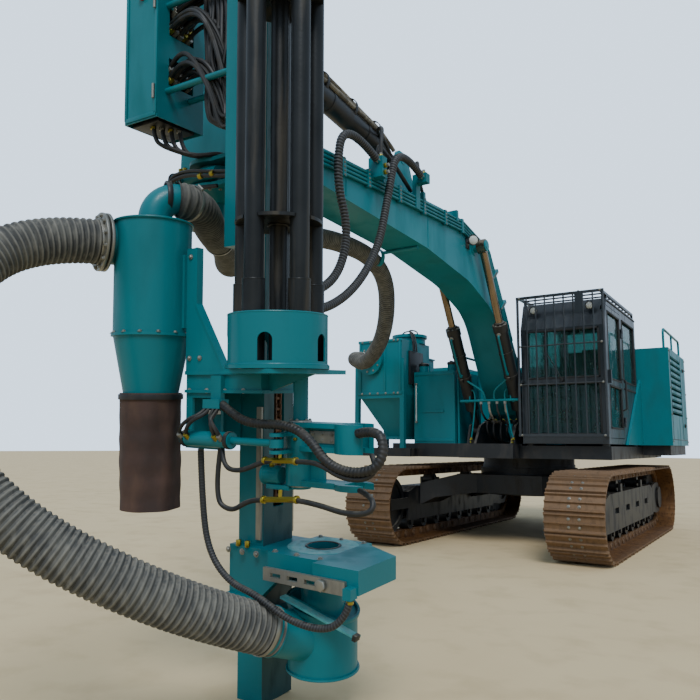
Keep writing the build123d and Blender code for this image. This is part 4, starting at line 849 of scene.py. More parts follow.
@dataclass
class DustDucts:
    """Corrugated dust ducts with their clamps, and the pleated sleeve under the cyclone."""

    boom_radius: float = 0.088
    feed_radius: float = 0.105
    pitch: float = 0.027
    depth: float = 0.008
    gap: float = 0.0055
    boom_route: tuple[Point, ...] = (
        (0.640, -7.054, 2.356), (0.699, -6.955, 2.362), (0.388, -6.552, 2.360), (0.190, -6.213, 2.395),
        (-0.150, -5.850, 2.380), (-0.330, -5.300, 2.740), (-0.330, -4.500, 3.045), (-0.330, -3.350, 3.045),
        (-0.640, -2.760, 2.470), (-1.220, -2.260, 2.130), (-1.570, -2.120, 2.290), (-1.570, -1.690, 2.290))
    feed_route: tuple[Point, ...] = (
        (-0.5168, -0.5397, 2.142), (-0.6942, -1.0231, 2.142), (-0.570, -1.333, 1.500),
        (-0.320, -1.253, 1.040), (0.127, -0.707, 0.6064), (0.2617, -0.257, 0.4224))
    sleeve_low: float = 0.905
    sleeve_high: float = 1.440
    sleeve_radius: float = 0.142
    sleeve_wall: float = 0.004
    sleeve_pinch: float = 0.008
    tiers: int = 5
    tier_depth: float = 0.0012
    joint_y: float = -3.560
    front_clamps: tuple[float, float] = (0.012, 0.115)
    rear_clamp: float = 0.97
    feed_clamps: tuple[float, float] = (0.02, 0.98)

    def band(self, piece: Piece, line: list[Vector], at: int, radius: float) -> None:
        """Put a worm-drive clamp round a duct."""
        facing, side, other = axes(line[min(at + 1, len(line) - 1)] - line[max(at - 1, 0)])
        piece.ring(line[at], facing, radius + 0.002, 0.002, ZINC, 36, 0.008)
        screw = line[at] + side * (radius + 0.008)
        piece.rod(screw - other * 0.02, screw + other * 0.02, 0.007, ZINC, 10)

    def sleeve(self) -> None:
        """Hang the pleated sleeve on the cyclone's lip."""
        rng = random.Random(PLEAT_SEED)
        pleats = [(rng.uniform(2, 7), rng.uniform(0, 6.28), rng.uniform(0.001, 0.003)) for _ in range(5)]
        sides, rows = 72, 46
        a, b = CYCLONE
        rings = []
        # the outer skin downward and the inner skin up again, closed at both ends
        for inset, order in ((0.0, range(rows + 1)), (self.sleeve_wall, range(rows, -1, -1))):
            for row in order:
                down = row / rows
                loose = min(1.0, down * 3)
                w = self.sleeve_high + (self.sleeve_low - self.sleeve_high) * down
                tier = self.tier_depth * math.cos(2 * math.pi * down * self.tiers)
                ring = []
                for t in (2 * math.pi * n / sides for n in range(sides)):
                    wave = sum(s * math.cos(round(k) * t + p + 3 * down) for k, p, s in pleats)
                    r = self.sleeve_radius - inset + (wave + tier - self.sleeve_pinch) * loose
                    ring.append(Vector((a + r * math.cos(t), b + r * math.sin(t), w)))
                rings.append(ring)
        piece = Piece("discharge_sleeve_look", MAST)
        piece.skin(rings, SLEEVE, False, True)
        piece.ring(
            (a, b, self.sleeve_high - 0.018), UP, self.sleeve_radius + 0.003, 0.003, BLACK, 48, 0.012)
        made = piece.make("feed_beam")
        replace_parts(made, "discharge_sleeve")

    def build(self) -> None:
        """Make both ducts and the sleeve."""
        line = Route(self.boom_route).even(self.gap)
        ring = min(range(len(line)), key=lambda n: abs(line[n].y - self.joint_y))
        front = Piece("dust_duct_boom_look")
        front.tube(line[:ring + 1], self.boom_radius, DUCT, 28, self.pitch, self.depth, hollow=True)
        for share in self.front_clamps:
            self.band(front, line, int(share * len(line)), self.boom_radius)
        made = front.make(None)
        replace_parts(made, "dust_duct_boom")
        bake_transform(made)
        rear = Piece("dust_duct_rear_look")
        rear.tube(line[ring:], self.boom_radius, DUCT, 28, self.pitch, self.depth, hollow=True)
        self.band(rear, line, int(self.rear_clamp * len(line)), self.boom_radius)
        made = rear.make(None)
        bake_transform(made)
        line = Route(self.feed_route, MAST).even(self.gap)
        piece = Piece("dust_duct_feed_look")
        piece.tube(line, self.feed_radius, DUCT, 30, self.pitch, self.depth, hollow=True)
        for share in self.feed_clamps:
            self.band(piece, line, int(share * len(line)), self.feed_radius)
        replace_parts(piece.make("feed_beam"), "dust_duct_feed")
        self.sleeve()


@dataclass
class Tracks:
    """Shoe bolts, link pins and roller caps of the crawlers."""

    length: float = 3.66
    height: float = 0.930
    grouser: float = 0.026
    shoe_thick: float = 0.012
    count: int = 49
    centre: float = 1.195
    rail: float = 0.092
    bolt_runs: tuple[float, float] = (0.30, 0.70)
    bolt_x: float = 0.053
    bolt_size: float = 0.011
    pin_half: float = 0.082
    pin_radius: float = 0.021
    pin_depth: float = 0.55
    cap_x: float = 0.079
    cap_radius: float = 0.030

    def loop(self, run: float, out: float) -> tuple[Point, Point]:
        """Give the place and facing at a run along the loop, both with x at 0."""
        base, half, mid = self.height / 2 - self.grouser, self.length / 2, self.height / 2
        turn = math.pi * base
        run %= 2 * self.length + 2 * turn
        if run < self.length:
            return (0, -half + run, mid + out), UP
        run -= self.length
        if run < turn:
            t = math.pi / 2 - run / base
            return (0, half + out * math.cos(t), mid + out * math.sin(t)), (0, math.cos(t), math.sin(t))
        run -= turn
        if run < self.length:
            return (0, half - run, mid - out), DOWN
        run -= self.length
        t = -math.pi / 2 - run / base
        return (0, -half + out * math.cos(t), mid + out * math.sin(t)), (0, math.cos(t), math.sin(t))

    def build(self, bolt: Repeat) -> None:
        """Bolt every shoe and pin every link."""
        base = self.height / 2 - self.grouser
        pitch = (2 * self.length + 2 * math.pi * base) / self.count
        pin_run = base - self.shoe_thick - self.rail * self.pin_depth
        for side, label in ((1, "left"), (-1, "right")):
            middle = side * self.centre
            bolts: Spots = []
            pins = Piece(f"link_pins_{label}")
            for n in range(self.count):
                for place in self.bolt_runs:
                    (_, y, z), facing = self.loop((n + place) * pitch, base)
                    bolts += [((middle + x, y, z), facing) for x in (-self.bolt_x, self.bolt_x)]
                (_, y, z), _ = self.loop((n + 0.5) * pitch, pin_run)
                pins.rod((middle - self.pin_half, y, z), (middle + self.pin_half, y, z), self.pin_radius,
                         TRACK, 12)
                for x in (-self.cap_x, self.cap_x):
                    pins.ring((middle + x, y, z), LEFT, self.cap_radius, 0.006, TRACK, 14, 0.004)
            pins.make("undercarriage")
            bolt.on("undercarriage", f"shoe_{label}", bolts, self.bolt_size)


@dataclass
class Cab:
    """Seals, wiper, handles, lamps and guard mesh of the cab."""

    x0: float = 0.405
    x1: float = 1.375
    y0: float = -1.385
    y1: float = 0.350

    def seal(self, piece: Piece, low: Point, high: Point, axis: int, wide: float = 0.022) -> None:
        """Run a rubber seal round a pane that lies across one axis."""
        u, v = [n for n in range(3) if n != axis]
        for fixed, along in ((u, v), (v, u)):
            for edge in (low[fixed], high[fixed]):
                a, b = list(low), list(high)
                a[fixed], b[fixed] = edge - wide / 2, edge + wide / 2
                a[along], b[along] = low[along] - wide / 2, high[along] + wide / 2
                piece.box(a, b, TRIM)

    def build(self, bolt: Repeat) -> None:
        """Make the cab's pieces."""
        seals = Piece("cab_seals")
        front = self.y0
        for z0, z1 in ((1.330, 1.905), (1.975, 2.530)):
            self.seal(seals, (self.x0 + 0.075, front - 0.006, z0), (self.x1 - 0.075, front + 0.014, z1), 1)
        for y0, y1, z0, x in ((-0.470, 0.250, 1.980, self.x1 - 0.012),
                              (-1.180, -0.520, 1.750, self.x0 - 0.006),
                              (-0.430, 0.250, 1.980, self.x0 - 0.006)):
            self.seal(seals, (x, y0, z0), (x + 0.018, y1, 2.740), 0)
        # roof gutter and the ribs pressed into the lower panels
        seals.box((self.x0 - 0.008, -1.250, 2.846), (self.x1 + 0.008, self.y1 + 0.006, 2.862), TRIM)
        seals.box((self.x1 - 0.002, -0.470, 1.880), (self.x1 + 0.010, 0.300, 1.905), TRIM)
        seals.make("upper", 0.003)
        wiper = Piece("wiper")
        wiper.rod((0.890, front - 0.004, 1.945), (0.890, front - 0.050, 1.945), 0.018, TRIM)
        wiper.tube([(0.890, front - 0.045, 1.945), (0.84, front - 0.040, 2.05),
                    (0.70, front - 0.018, 2.30)], 0.006, TRIM, 8)
        wiper.box((0.690, front - 0.014, 2.02), (0.704, front - 0.001, 2.49), TRIM)
        wiper.make("upper", 0.001)
        door = Piece("door_trim")
        for z0, z1 in ((1.400, 1.880), (1.960, 2.730)):
            self.seal(door, (self.x1 - 0.016, -1.250, z0), (self.x1 + 0.004, -0.620, z1), 0)
        door.tube([(self.x1, -0.600, 1.62), (self.x1 + 0.045, -0.600, 1.64),
                   (self.x1 + 0.045, -0.600, 1.98), (self.x1, -0.600, 2.0)], 0.011, TRIM, 10)
        door.make("cab_door", 0.002)
        lamps = Piece("cab_lamps")
        for x in (self.x0 + 0.16, self.x1 - 0.16):
            WorkLamp.draw(lamps, (x, front + 0.005, 2.790), (0, -1, -0.15), 0.048)
        lamps.make("upper", 0.002)
        guard = self.y0 - 0.075
        spots: Spots = [((x, guard - 0.016, z), FRONT) for x in (self.x0 + 0.02, self.x1 - 0.02)
                        for z in (1.315, 1.9, 2.35, 2.935)]
        bolt.on("upper", "guard", spots, 0.009)


class WorkLamp:
    """A round work lamp."""

    @staticmethod
    def draw(piece: Piece, at: Point, facing: Point, radius: float) -> None:
        """Add a lamp with its housing, rim and lens."""
        ahead = Vector(facing).normalized()
        back = Vector(at) - ahead * radius * 0.9
        piece.lathe(
            back, at, [(0, radius * 0.35), (0.2, radius * 0.7), (0.75, radius), (1, radius)], TRIM, 24)
        piece.ring(at, ahead, radius * 0.95, radius * 0.08, TRIM, 28)
        piece.lathe(Vector(at) - ahead * 0.004, Vector(at) + ahead * radius * 0.25,
                    [(0, radius * 0.9), (0.6, radius * 0.7), (1, radius * 0.2)], LENS, 24)


@dataclass
class Upper:
    """Panel seams, latches, filler caps, collector trim and hanging hoses of the slewing upper."""

    tank_front: float = -1.300
    collector_front: float = -1.580

    def build(self, bolt: Repeat) -> None:
        """Make the pieces on the deck."""
        self.tank()
        self.collector()
        self.body()
        self.foot()
        spots: Spots = [((x, self.collector_front - 0.012, z), FRONT) for z in (1.855, 2.545)
                        for x in (-1.70, -1.58, -1.46, -1.34, -1.22, -1.16)]
        spots += [((1.762, y, z), LEFT) for y in (0.50, 1.94) for z in (1.27, 1.62, 1.97, 2.32, 2.46)]
        spots += ring_spots((-1.570, -1.640, 2.290), FRONT, 0.150, 10)
        bolt.on("upper", "deck", spots, 0.010)

    def tank(self) -> None:
        """Trim the tank with filler caps, a level gauge and two bands."""
        front, trim = self.tank_front, Piece("tank_trim")
        for x in (-0.990, -0.580):
            trim.lathe((x, -1.180, 2.225), (x, -1.180, 2.262),
                       [(0, 0.066), (0.3, 0.070), (0.8, 0.070), (1, 0.060)], BLACK, 26)
            trim.box((x - 0.012, -1.245, 2.258), (x + 0.012, -1.115, 2.274), BLACK)
        trim.rod((-1.040, front - 0.014, 1.50), (-1.040, front - 0.014, 1.98), 0.009, LENS)
        for z in (1.49, 1.98):
            trim.rod((-1.040, front + 0.005, z), (-1.040, front - 0.026, z), 0.016, ZINC)
        for low, high in ((1.235, 1.275), (2.090, 2.120)):
            trim.box((-1.060, front - 0.005, low), (-0.515, front + 0.003, high), TEAL)
        trim.make("upper", 0.003)

    def collector(self) -> None:
        """Trim the dust collector and run its cables to the box on its side."""
        front, trim = self.collector_front, Piece("collector_trim")
        for z in (1.855, 2.545):
            trim.box((-1.766, front - 0.012, z - 0.018), (-1.104, front + 0.004, z + 0.018), TEAL)
        for x in (-1.735, -1.135, -1.360):
            trim.box((x - 0.015, front - 0.010, 1.87), (x + 0.015, front + 0.004, 2.53), TEAL)
        cables = Piece("collector_cables")
        for shift, drop in ((-0.12, 0.0), (0.0, 0.05), (0.12, 0.09)):
            trim.rod((-1.30 + shift, -1.0, 2.676), (-1.30 + shift, -1.0, 2.700), 0.018, ZINC)
            cables.hose([
                (-1.300 + shift, -1.000, 2.700), (-1.28 + shift, -1.020, 2.735),
                (-1.20, -1.150 - drop, 2.730), (-1.090, -1.22 - drop, 2.62), (-1.075, -1.22 - drop, 2.42)],
                0.009, HOSE, sides=8)
        trim.box((-1.108, -1.40, 1.98), (-1.085, -1.02, 2.42), BLACK)
        trim.make("upper", 0.003)
        cables.make("upper")

    def body(self) -> None:
        """Draw the seams, louvre lips and latches of the side body."""
        seams = Piece("body_seams")
        for y in (0.560, 1.500):
            seams.box((1.758, y, 1.30), (1.7635, y + 0.008, 2.46), BLACK)
        seams.box((1.758, 0.480, 1.290), (1.7635, 1.950, 1.298), BLACK)
        for n in range(10):
            z = 1.620 + 0.082 * n
            seams.box((1.705, 0.572, z + 0.030), (1.7640, 1.478, z + 0.036), TEAL)
        for z in (1.50, 2.30):
            seams.rod((1.755, 1.70, z), (1.774, 1.70, z), 0.028, BLACK)
            seams.box((1.770, 1.665, z - 0.008), (1.780, 1.735, z + 0.008), BLACK)
        seams.make("upper", 0.002)

    def foot(self) -> None:
        """Hang the hoses at the boom's foot and set the fittings beside it."""
        hang = Piece("foot_hoses")
        for n, x in enumerate((-0.17, -0.08, 0.02, 0.11, 0.19)):
            low = 1.30 - 0.03 * (n % 3)
            hang.hose([(x, -0.975, 1.505), (x, -1.06, 1.50), (x * 0.9, -1.10, low + 0.06),
                       (x * 0.8, -0.98, low - 0.02), (x * 0.7, -0.80, 1.235)], 0.016, HOSE, sides=10)
            hang.rod((x, -0.955, 1.500), (x, -1.000, 1.512), 0.020, BRASS, 6)
        for side in (-1, 1):
            x = side * 0.270
            hang.box((x - 0.022, -1.345, 1.190), (x + 0.022, -1.300, 1.262), BLACK)
            for lift in (0.0, 0.030, 0.060):
                hang.rod((x, -1.345, 1.200 + lift), (side * 0.262, -1.378, 1.204 + lift), 0.011, BRASS, 6)
            hang.rod((x, -1.330, 1.255), (x, -1.330, 1.290), 0.014, BRASS, 6)
        hang.make("upper")


@dataclass
class Boom:
    """Pipe clamps, fittings, gland pipes, lamp and seams of the boom and its cylinders."""

    half: float = 0.200
    run: tuple[tuple[float, float], ...] = (
        (-5.430, 3.415), (-4.550, 3.490), (-2.620, 3.620), (-1.880, 3.490), (-1.330, 2.760),
        (-1.150, 2.500))

    def clamp_spots(self) -> Spots:
        """Give the bolts of the clamps on the boom's side."""
        spots: Spots = []
        for share, m in ((0.04, 0), (0.5, 1), (0.93, 0), (0.5, 0), (0.25, 1), (0.75, 1), (0.35, 3),
                         (0.8, 3)):
            (y0, z0), (y1, z1) = self.run[m], self.run[m + 1]
            y, z = y0 + (y1 - y0) * share, z0 + (z1 - z0) * share
            along = Vector((0, y1 - y0, z1 - z0)).normalized()
            down = Vector((0, along.z, -along.y)) if along.y > 0 else Vector((0, -along.z, along.y))
            for n in (0.017, 0.051, 0.085, 0.119, 0.153):
                spots.append(((self.half + 0.042, y + down.y * n, z + down.z * n), LEFT))
        return spots

    def build(self, bolt: Repeat) -> None:
        """Make the boom's pieces."""
        self.fittings()
        lamp = Piece("boom_lamp")
        WorkLamp.draw(lamp, (0.300, -2.535, 3.400), (0.55, -0.80, -0.15), 0.058)
        lamp.box((0.199, -2.520, 3.330), (0.213, -2.440, 3.440), BLACK)
        lamp.rod((0.205, -2.480, 3.395), (0.262, -2.490, 3.400), 0.013, BLACK)
        lamp.make("boom", 0.001)
        seams = Piece("boom_seams")
        for y, low, high in ((-3.436, 3.110, 3.420), (-4.900, 3.160, 3.330)):
            for x in (self.half + 0.001, -self.half - 0.001):
                seams.tube([(x, y, low), (x, y, high)], 0.005, CHALKED, 8)
        seams.make("boom")
        bolt.on("boom", "pipe_clamps", self.clamp_spots(), 0.007)
        self.lift_cylinders(bolt)
        self.tilt_cylinder(bolt)

    def fittings(self) -> None:
        """Set the fittings on the boom's top and the hoses that arch between them."""
        block = Piece("boom_fittings")
        for x, y, z in ((0.300, -4.520, 3.595), (0.265, -4.500, 3.595), (0.235, -4.545, 3.595),
                        (0.300, -3.720, 3.725), (0.250, -3.735, 3.725)):
            block.rod((x, y, z), (x, y, z + 0.028), 0.021, BRASS, 6)
            block.rod((x, y, z + 0.028), (x, y, z + 0.050), 0.015, ZINC, 12)
        for z in (3.520, 3.460):
            block.rod((0.330, -4.520, z), (0.358, -4.520, z), 0.021, BRASS, 6)
            block.rod((0.358, -4.520, z), (0.380, -4.520, z), 0.015, ZINC, 12)
        ends = Piece("loop_ends")
        for points in (FreeHoses.loop_a, FreeHoses.loop_b):
            for piece, start, then in ((block, points[0], points[1]), (ends, points[-1], points[-2])):
                ahead = (Vector(then) - Vector(start)).normalized()
                piece.rod(Vector(start) - ahead * 0.030, Vector(start) - ahead * 0.002, 0.0325, ZINC, 6)
        block.make("boom", 0.0015)
        ends.make("mast_head", 0.0015)
        # a smooth black hose that arches over the tilt cylinder, and the bundle beside it
        arch = Piece("boom_hoses")
        for radius, points in (
                (0.017, [(0.300, -4.520, 3.640), (0.300, -4.520, 3.760), (0.270, -4.440, 3.920),
                         (0.120, -4.300, 3.980), (0.090, -4.080, 3.970), (0.080, -3.860, 3.780)]),
                (0.020, [(0.265, -4.500, 3.640), (0.265, -4.520, 3.730), (0.200, -4.300, 3.760),
                         (0.160, -4.020, 3.740), (0.150, -3.700, 3.600)]),
                (0.018, [(0.250, -3.735, 3.770), (0.250, -3.750, 3.860), (0.180, -3.640, 3.880),
                         (0.130, -3.450, 3.720), (0.110, -3.300, 3.612)])):
            arch.hose(points, radius, HOSE, 0.010, 10)
        arch.make("boom")

    def lift_cylinders(self, bolt: Repeat) -> None:
        """Add gland bolts, feed pipes and hoses to the lift cylinders."""
        pipes, arches = Piece("lift_pipes"), Piece("foot_pipes")
        spots: Spots = []
        base, top = Vector((0, -1.060, 1.380)), Vector((0, -2.280, 3.395))
        ahead = (top - base).normalized()
        front = Vector(LEFT).cross(ahead).normalized()
        upright = ahead.to_track_quat("Z", "Y").to_matrix().to_4x4()
        for side in (-1, 1):
            x = side * 0.296
            foot = base + Vector((x, 0, 0))
            gland, upper, lower = foot + ahead * 1.41, foot + ahead * 1.315, foot + ahead * 0.42
            spots += ring_spots(gland, ahead, 0.066, 8, 0.3)
            pipes.hose([
                upper + front * 0.070, upper + front * 0.125, upper + front * 0.118 - ahead * 0.10,
                lower + front * 0.112 + ahead * 0.35, (side * 0.292, -1.555, 2.060),
                (side * 0.275, -1.480, 1.985), (side * 0.080, -1.430, 1.860), (side * 0.058, -1.400, 1.790),
                (side * 0.058, -1.385, 1.745)], 0.0125, TEAL, sides=10)
            pipes.rod(upper + front * 0.060, upper + front * 0.105, 0.024, ZINC, 6)
            for run in (0.75, 1.05):
                at = foot + ahead * run
                pipes.ring(at, ahead, 0.081, 0.003, BLACK, 30, 0.016)
                pipes.box((-0.02, -0.012, -0.02), (0.02, 0.012, 0.02), BLACK,
                          Matrix.Translation(at + front * 0.100) @ upright)
            pipes.lathe(gland - ahead * 0.004, gland + ahead * 0.030,
                        [(0, 0.060), (0.8, 0.060), (1, 0.048)], BLACK, 24)
            pipes.box((x - 0.016, -1.375, 1.712), (x + 0.016, -1.290, 1.758), TEAL)
            arches.hose([
                (side * 0.270, -1.330, 1.275), (side * 0.250, -1.345, 1.350), (side * 0.215, -1.360, 1.560),
                (side * 0.185, -1.385, 1.780), (side * 0.205, -1.395, 1.870), (side * 0.245, -1.390, 1.860),
                (side * 0.262, -1.382, 1.800), (side * 0.262, -1.380, 1.745)], 0.0095, TEAL, 0.010, 10)
        pipes.rod((-0.385, -1.380, 1.735), (0.385, -1.380, 1.735), 0.017, TEAL, 20)
        for n, x in enumerate((-0.115, -0.012, 0.090, 0.190)):
            pipes.rod((x, -1.380, 1.722), (x, -1.380, 1.690), 0.018, ZINC, 6)
            pipes.hose([
                (x, -1.380, 1.700), (x, -1.385, 1.620), (x + 0.02, -1.340, 1.540), (x * 0.9, -1.230, 1.500),
                (x * 0.8, -1.130, 1.490 - 0.01 * n)], 0.013, DUSTY if n % 2 else HOSE)
        pipes.make("lift_barrels")
        made = arches.make(None)
        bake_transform(made)
        bolt.on("lift_barrels", "glands", spots, 0.008)

    def tilt_cylinder(self, bolt: Repeat) -> None:
        """Add gland bolts, a feed pipe and the strapped hose bundle to the tilt cylinder."""
        base, eye = Vector((0, -3.750, 3.900)), Vector((0, -5.950, 4.120))
        ahead = (eye - base).normalized()

        def at(run: float, lift: float = 0.0, side: float = 0.0) -> Vector:
            return base + ahead * run + Vector((side, 0, lift))

        trim = Piece("tilt_pipes")
        trim.hose([at(1.40, 0.090), at(1.40, 0.145), at(1.25, 0.130), at(0.45, 0.128), at(0.36, 0.085)],
                  0.0125, BLACK, 0.015, 10)
        trim.rod(at(1.40, 0.085), at(1.40, 0.128), 0.024, ZINC, 6)
        for run in (0.60, 1.15):
            trim.ring(at(run), ahead, 0.095, 0.003, BLACK, 32, 0.018)
        gland = at(1.50)
        trim.lathe(
            gland - ahead * 0.004, gland + ahead * 0.030, [(0, 0.068), (0.8, 0.068), (1, 0.054)], BLACK, 24)
        for n, (side, lift) in enumerate(((-0.075, 0.085), (-0.040, 0.118), (0.0, 0.150), (0.045, 0.118),
                                          (0.080, 0.080), (0.022, 0.172))):
            sway = 0.012 * (n % 3 - 1)
            bundle = ((1.44, 0.0, -0.02), (1.32, sway, 0.01), (0.95, 0.014 * (n % 2), 0.0),
                      (0.60, -sway, 0.012), (0.28, 0.0, -0.005), (0.16, 0.0, -0.05))
            trim.hose(
                [at(run, lift + rise, side + shift) for run, shift, rise in bundle], 0.019, DUSTY, 0.02, 10)
        for run in (0.45, 0.85, 1.28):
            trim.ring(at(run, 0.088), ahead, 0.107, 0.003, BLACK, 28, 0.014)
        trim.make("tilt_barrel")
        bolt.on("tilt_barrel", "gland", ring_spots(gland, ahead, 0.080, 10), 0.008)


@dataclass
class Mast:
    """Swing drive, valve box, feed beam and chain."""

    swing: tuple[float, float] = (-0.650, 0.326)
    top_w: float = 2.745
    low_w: float = 2.595
    chain_foot: float = 0.95
    chain_pitch: float = 0.0515
    links: int = 89

    def build(self, bolt: Repeat) -> None:
        """Make the mast's upper pieces."""
        a, b = self.swing
        spots = ring_spots((a, b, self.top_w + 0.022), UP, 0.148, 16)
        spots += ring_spots((a, b, self.low_w), DOWN, 0.150, 16)
        bolt.on("mast_carrier", "swing", spots, 0.011, MAST)
        drive = Piece("swing_motor", MAST)
        drive.rod((a - 0.228, b - 0.150, 2.674), (a - 0.212, b - 0.150, 2.674), 0.050, BLACK)
        for n in range(4):
            drive.ring((a - 0.195 + 0.022 * n, b - 0.150, 2.674), LEFT, 0.044, 0.004, BLACK, 24)
        for shift in (0.170, 0.135):
            drive.rod((a - shift, b - 0.150, 2.712), (a - shift, b - 0.150, 2.742), 0.014, BRASS, 6)
        drive.make("mast_head", 0.001)
        box = Piece("valve_box_trim", MAST)
        # door frame, hinges and a red plug on the box's face, with ports below
        for w in (2.94, 3.69):
            box.box((-0.925, -0.1445, w - 0.012), (-0.676, -0.138, w + 0.012), TEAL)
        for x in (-0.920, -0.682):
            box.box((x - 0.010, -0.1445, 2.94), (x + 0.010, -0.138, 3.69), TEAL)
        for w in (3.02, 3.52):
            box.rod((-0.690, -0.150, w), (-0.690, -0.150, w + 0.08), 0.008, ZINC)
        box.rod((-0.800, -0.136, 3.620), (-0.800, -0.160, 3.620), 0.022, RED)
        box.box((-0.910, -0.100, 2.914), (-0.700, 0.160, 2.935), BLACK)
        box.make("mast_carrier", 0.001)
        self.valve_hoses()
        self.chain()

    def valve_hoses(self) -> None:
        """Run the hose bundles from the valve box to the spine and to the swing drive."""
        rng = random.Random(BUNDLE_SEED)
        bundle = Piece("valve_hoses", MAST)
        for base in (3.150, 3.420):
            for n in range(10):
                y, w = -0.045 + 0.033 * (n % 5), base + 0.045 * (n // 5) + rng.uniform(-0.01, 0.01)
                rise, sag = rng.uniform(0.02, 0.09), rng.uniform(-0.03, 0.03)
                x = -0.290 + 0.022 * (n % 5) + rng.uniform(-0.01, 0.01)
                bundle.hose([
                    (-0.700, y, w), (-0.610, y - 0.02, w + rise), (-0.450 + sag, y - 0.05, w + rise * 0.6),
                    (x - 0.05, y - 0.03, w - 0.140 + sag), (x, y + 0.01, w - 0.360),
                    (x + 0.045, y + 0.03, 2.860 + 0.05 * (n // 5)), (-0.145, y + 0.06, 2.790)], 0.0125,
                    HOSE, 0.014)
                bundle.rod(
                    (-0.690, y, w), (-0.655, y - 0.004, w + 0.012), 0.017, ZINC if n % 3 else BRASS, 6)
        for n in range(14):
            x, y, top = -0.430 + 0.030 * (n % 7), -0.020 + 0.045 * (n // 7), 3.620 - 0.016 * (n % 7)
            points = [(-0.690, y, top), (-0.590, y, top + 0.060), (x - 0.020, y, top + 0.050),
                      (x, y, top - 0.080)]
            points += [(x + rng.uniform(-0.016, 0.016), y + rng.uniform(-0.012, 0.012),
                        top - 0.190 - 0.100 * k) for k in range(6)]
            points += [(x + 0.030, y + 0.020, 2.860), (-0.150, y + 0.030, 2.780)]
            bundle.hose(points, 0.0135, HOSE, 0.014)
            bundle.rod((-0.690, y, top - 0.004), (-0.650, y, top + 0.018), 0.017, ZINC, 6)
        for n in range(4):
            x, y = -0.800 + 0.026 * n, -0.050 + 0.040 * n
            bundle.hose([
                (x, y, 2.935), (x + 0.01, y, 2.850), (x + 0.05, y + 0.02, 2.800 - 0.01 * n),
                (-0.660 + 0.02 * n, 0.130, 2.770), (-0.610 + 0.03 * n, 0.205, 2.790),
                (-0.590 + 0.03 * n, 0.225, 2.768)], 0.0125, HOSE)
            bundle.rod((x, y, 2.955), (x, y, 2.900), 0.017, ZINC if n % 2 else BRASS, 6)
        bundle.make("mast_carrier")
        loop = Piece("swing_hoses", MAST)
        for lift in (0.0, 0.024):
            loop.hose([
                (-0.360, 0.100, 2.606 + lift), (-0.500, 0.082, 2.622 + lift), (-0.660, 0.080, 2.655 + lift),
                (-0.790, 0.085, 2.648 + lift), (-0.830, 0.090, 2.612), (-0.760, 0.100, 2.582),
                (-0.600, 0.105, 2.574 + lift * 0.3), (-0.480, 0.130, 2.578)], 0.011, HOSE, 0.010)
        for x in (-0.560, -0.470):
            loop.ring((x, 0.081, 2.632), (1, 0, 0.1), 0.014, 0.003, BRASS, 14, 0.012)
        loop.make("mast_head")

    def chain(self) -> None:
        """Lay the feed chain in the beam's slot."""
        link = Piece("chain_link_model")
        for y in (-0.017, 0.017):
            link.box((-0.025, y - 0.003, -0.012), (0.025, y + 0.003, 0.012), RUST)
        link.rod((0.0, -0.022, 0), (0.0, 0.022, 0), 0.008, RUST, 10)
        for y in (-0.012, 0.012):
            link.rod((0.025, y - 0.001, 0), (0.025, y + 0.001, 0), 0.013, RUST, 10)
        repeat = Repeat("chain", link, RUST)
        spots = [((0.062, 0.0, self.chain_foot + self.chain_pitch * n), LEFT) for n in range(self.links)]
        repeat.on("feed_beam", "feed", spots, 1.0, MAST, 0.0)
        repeat.done()


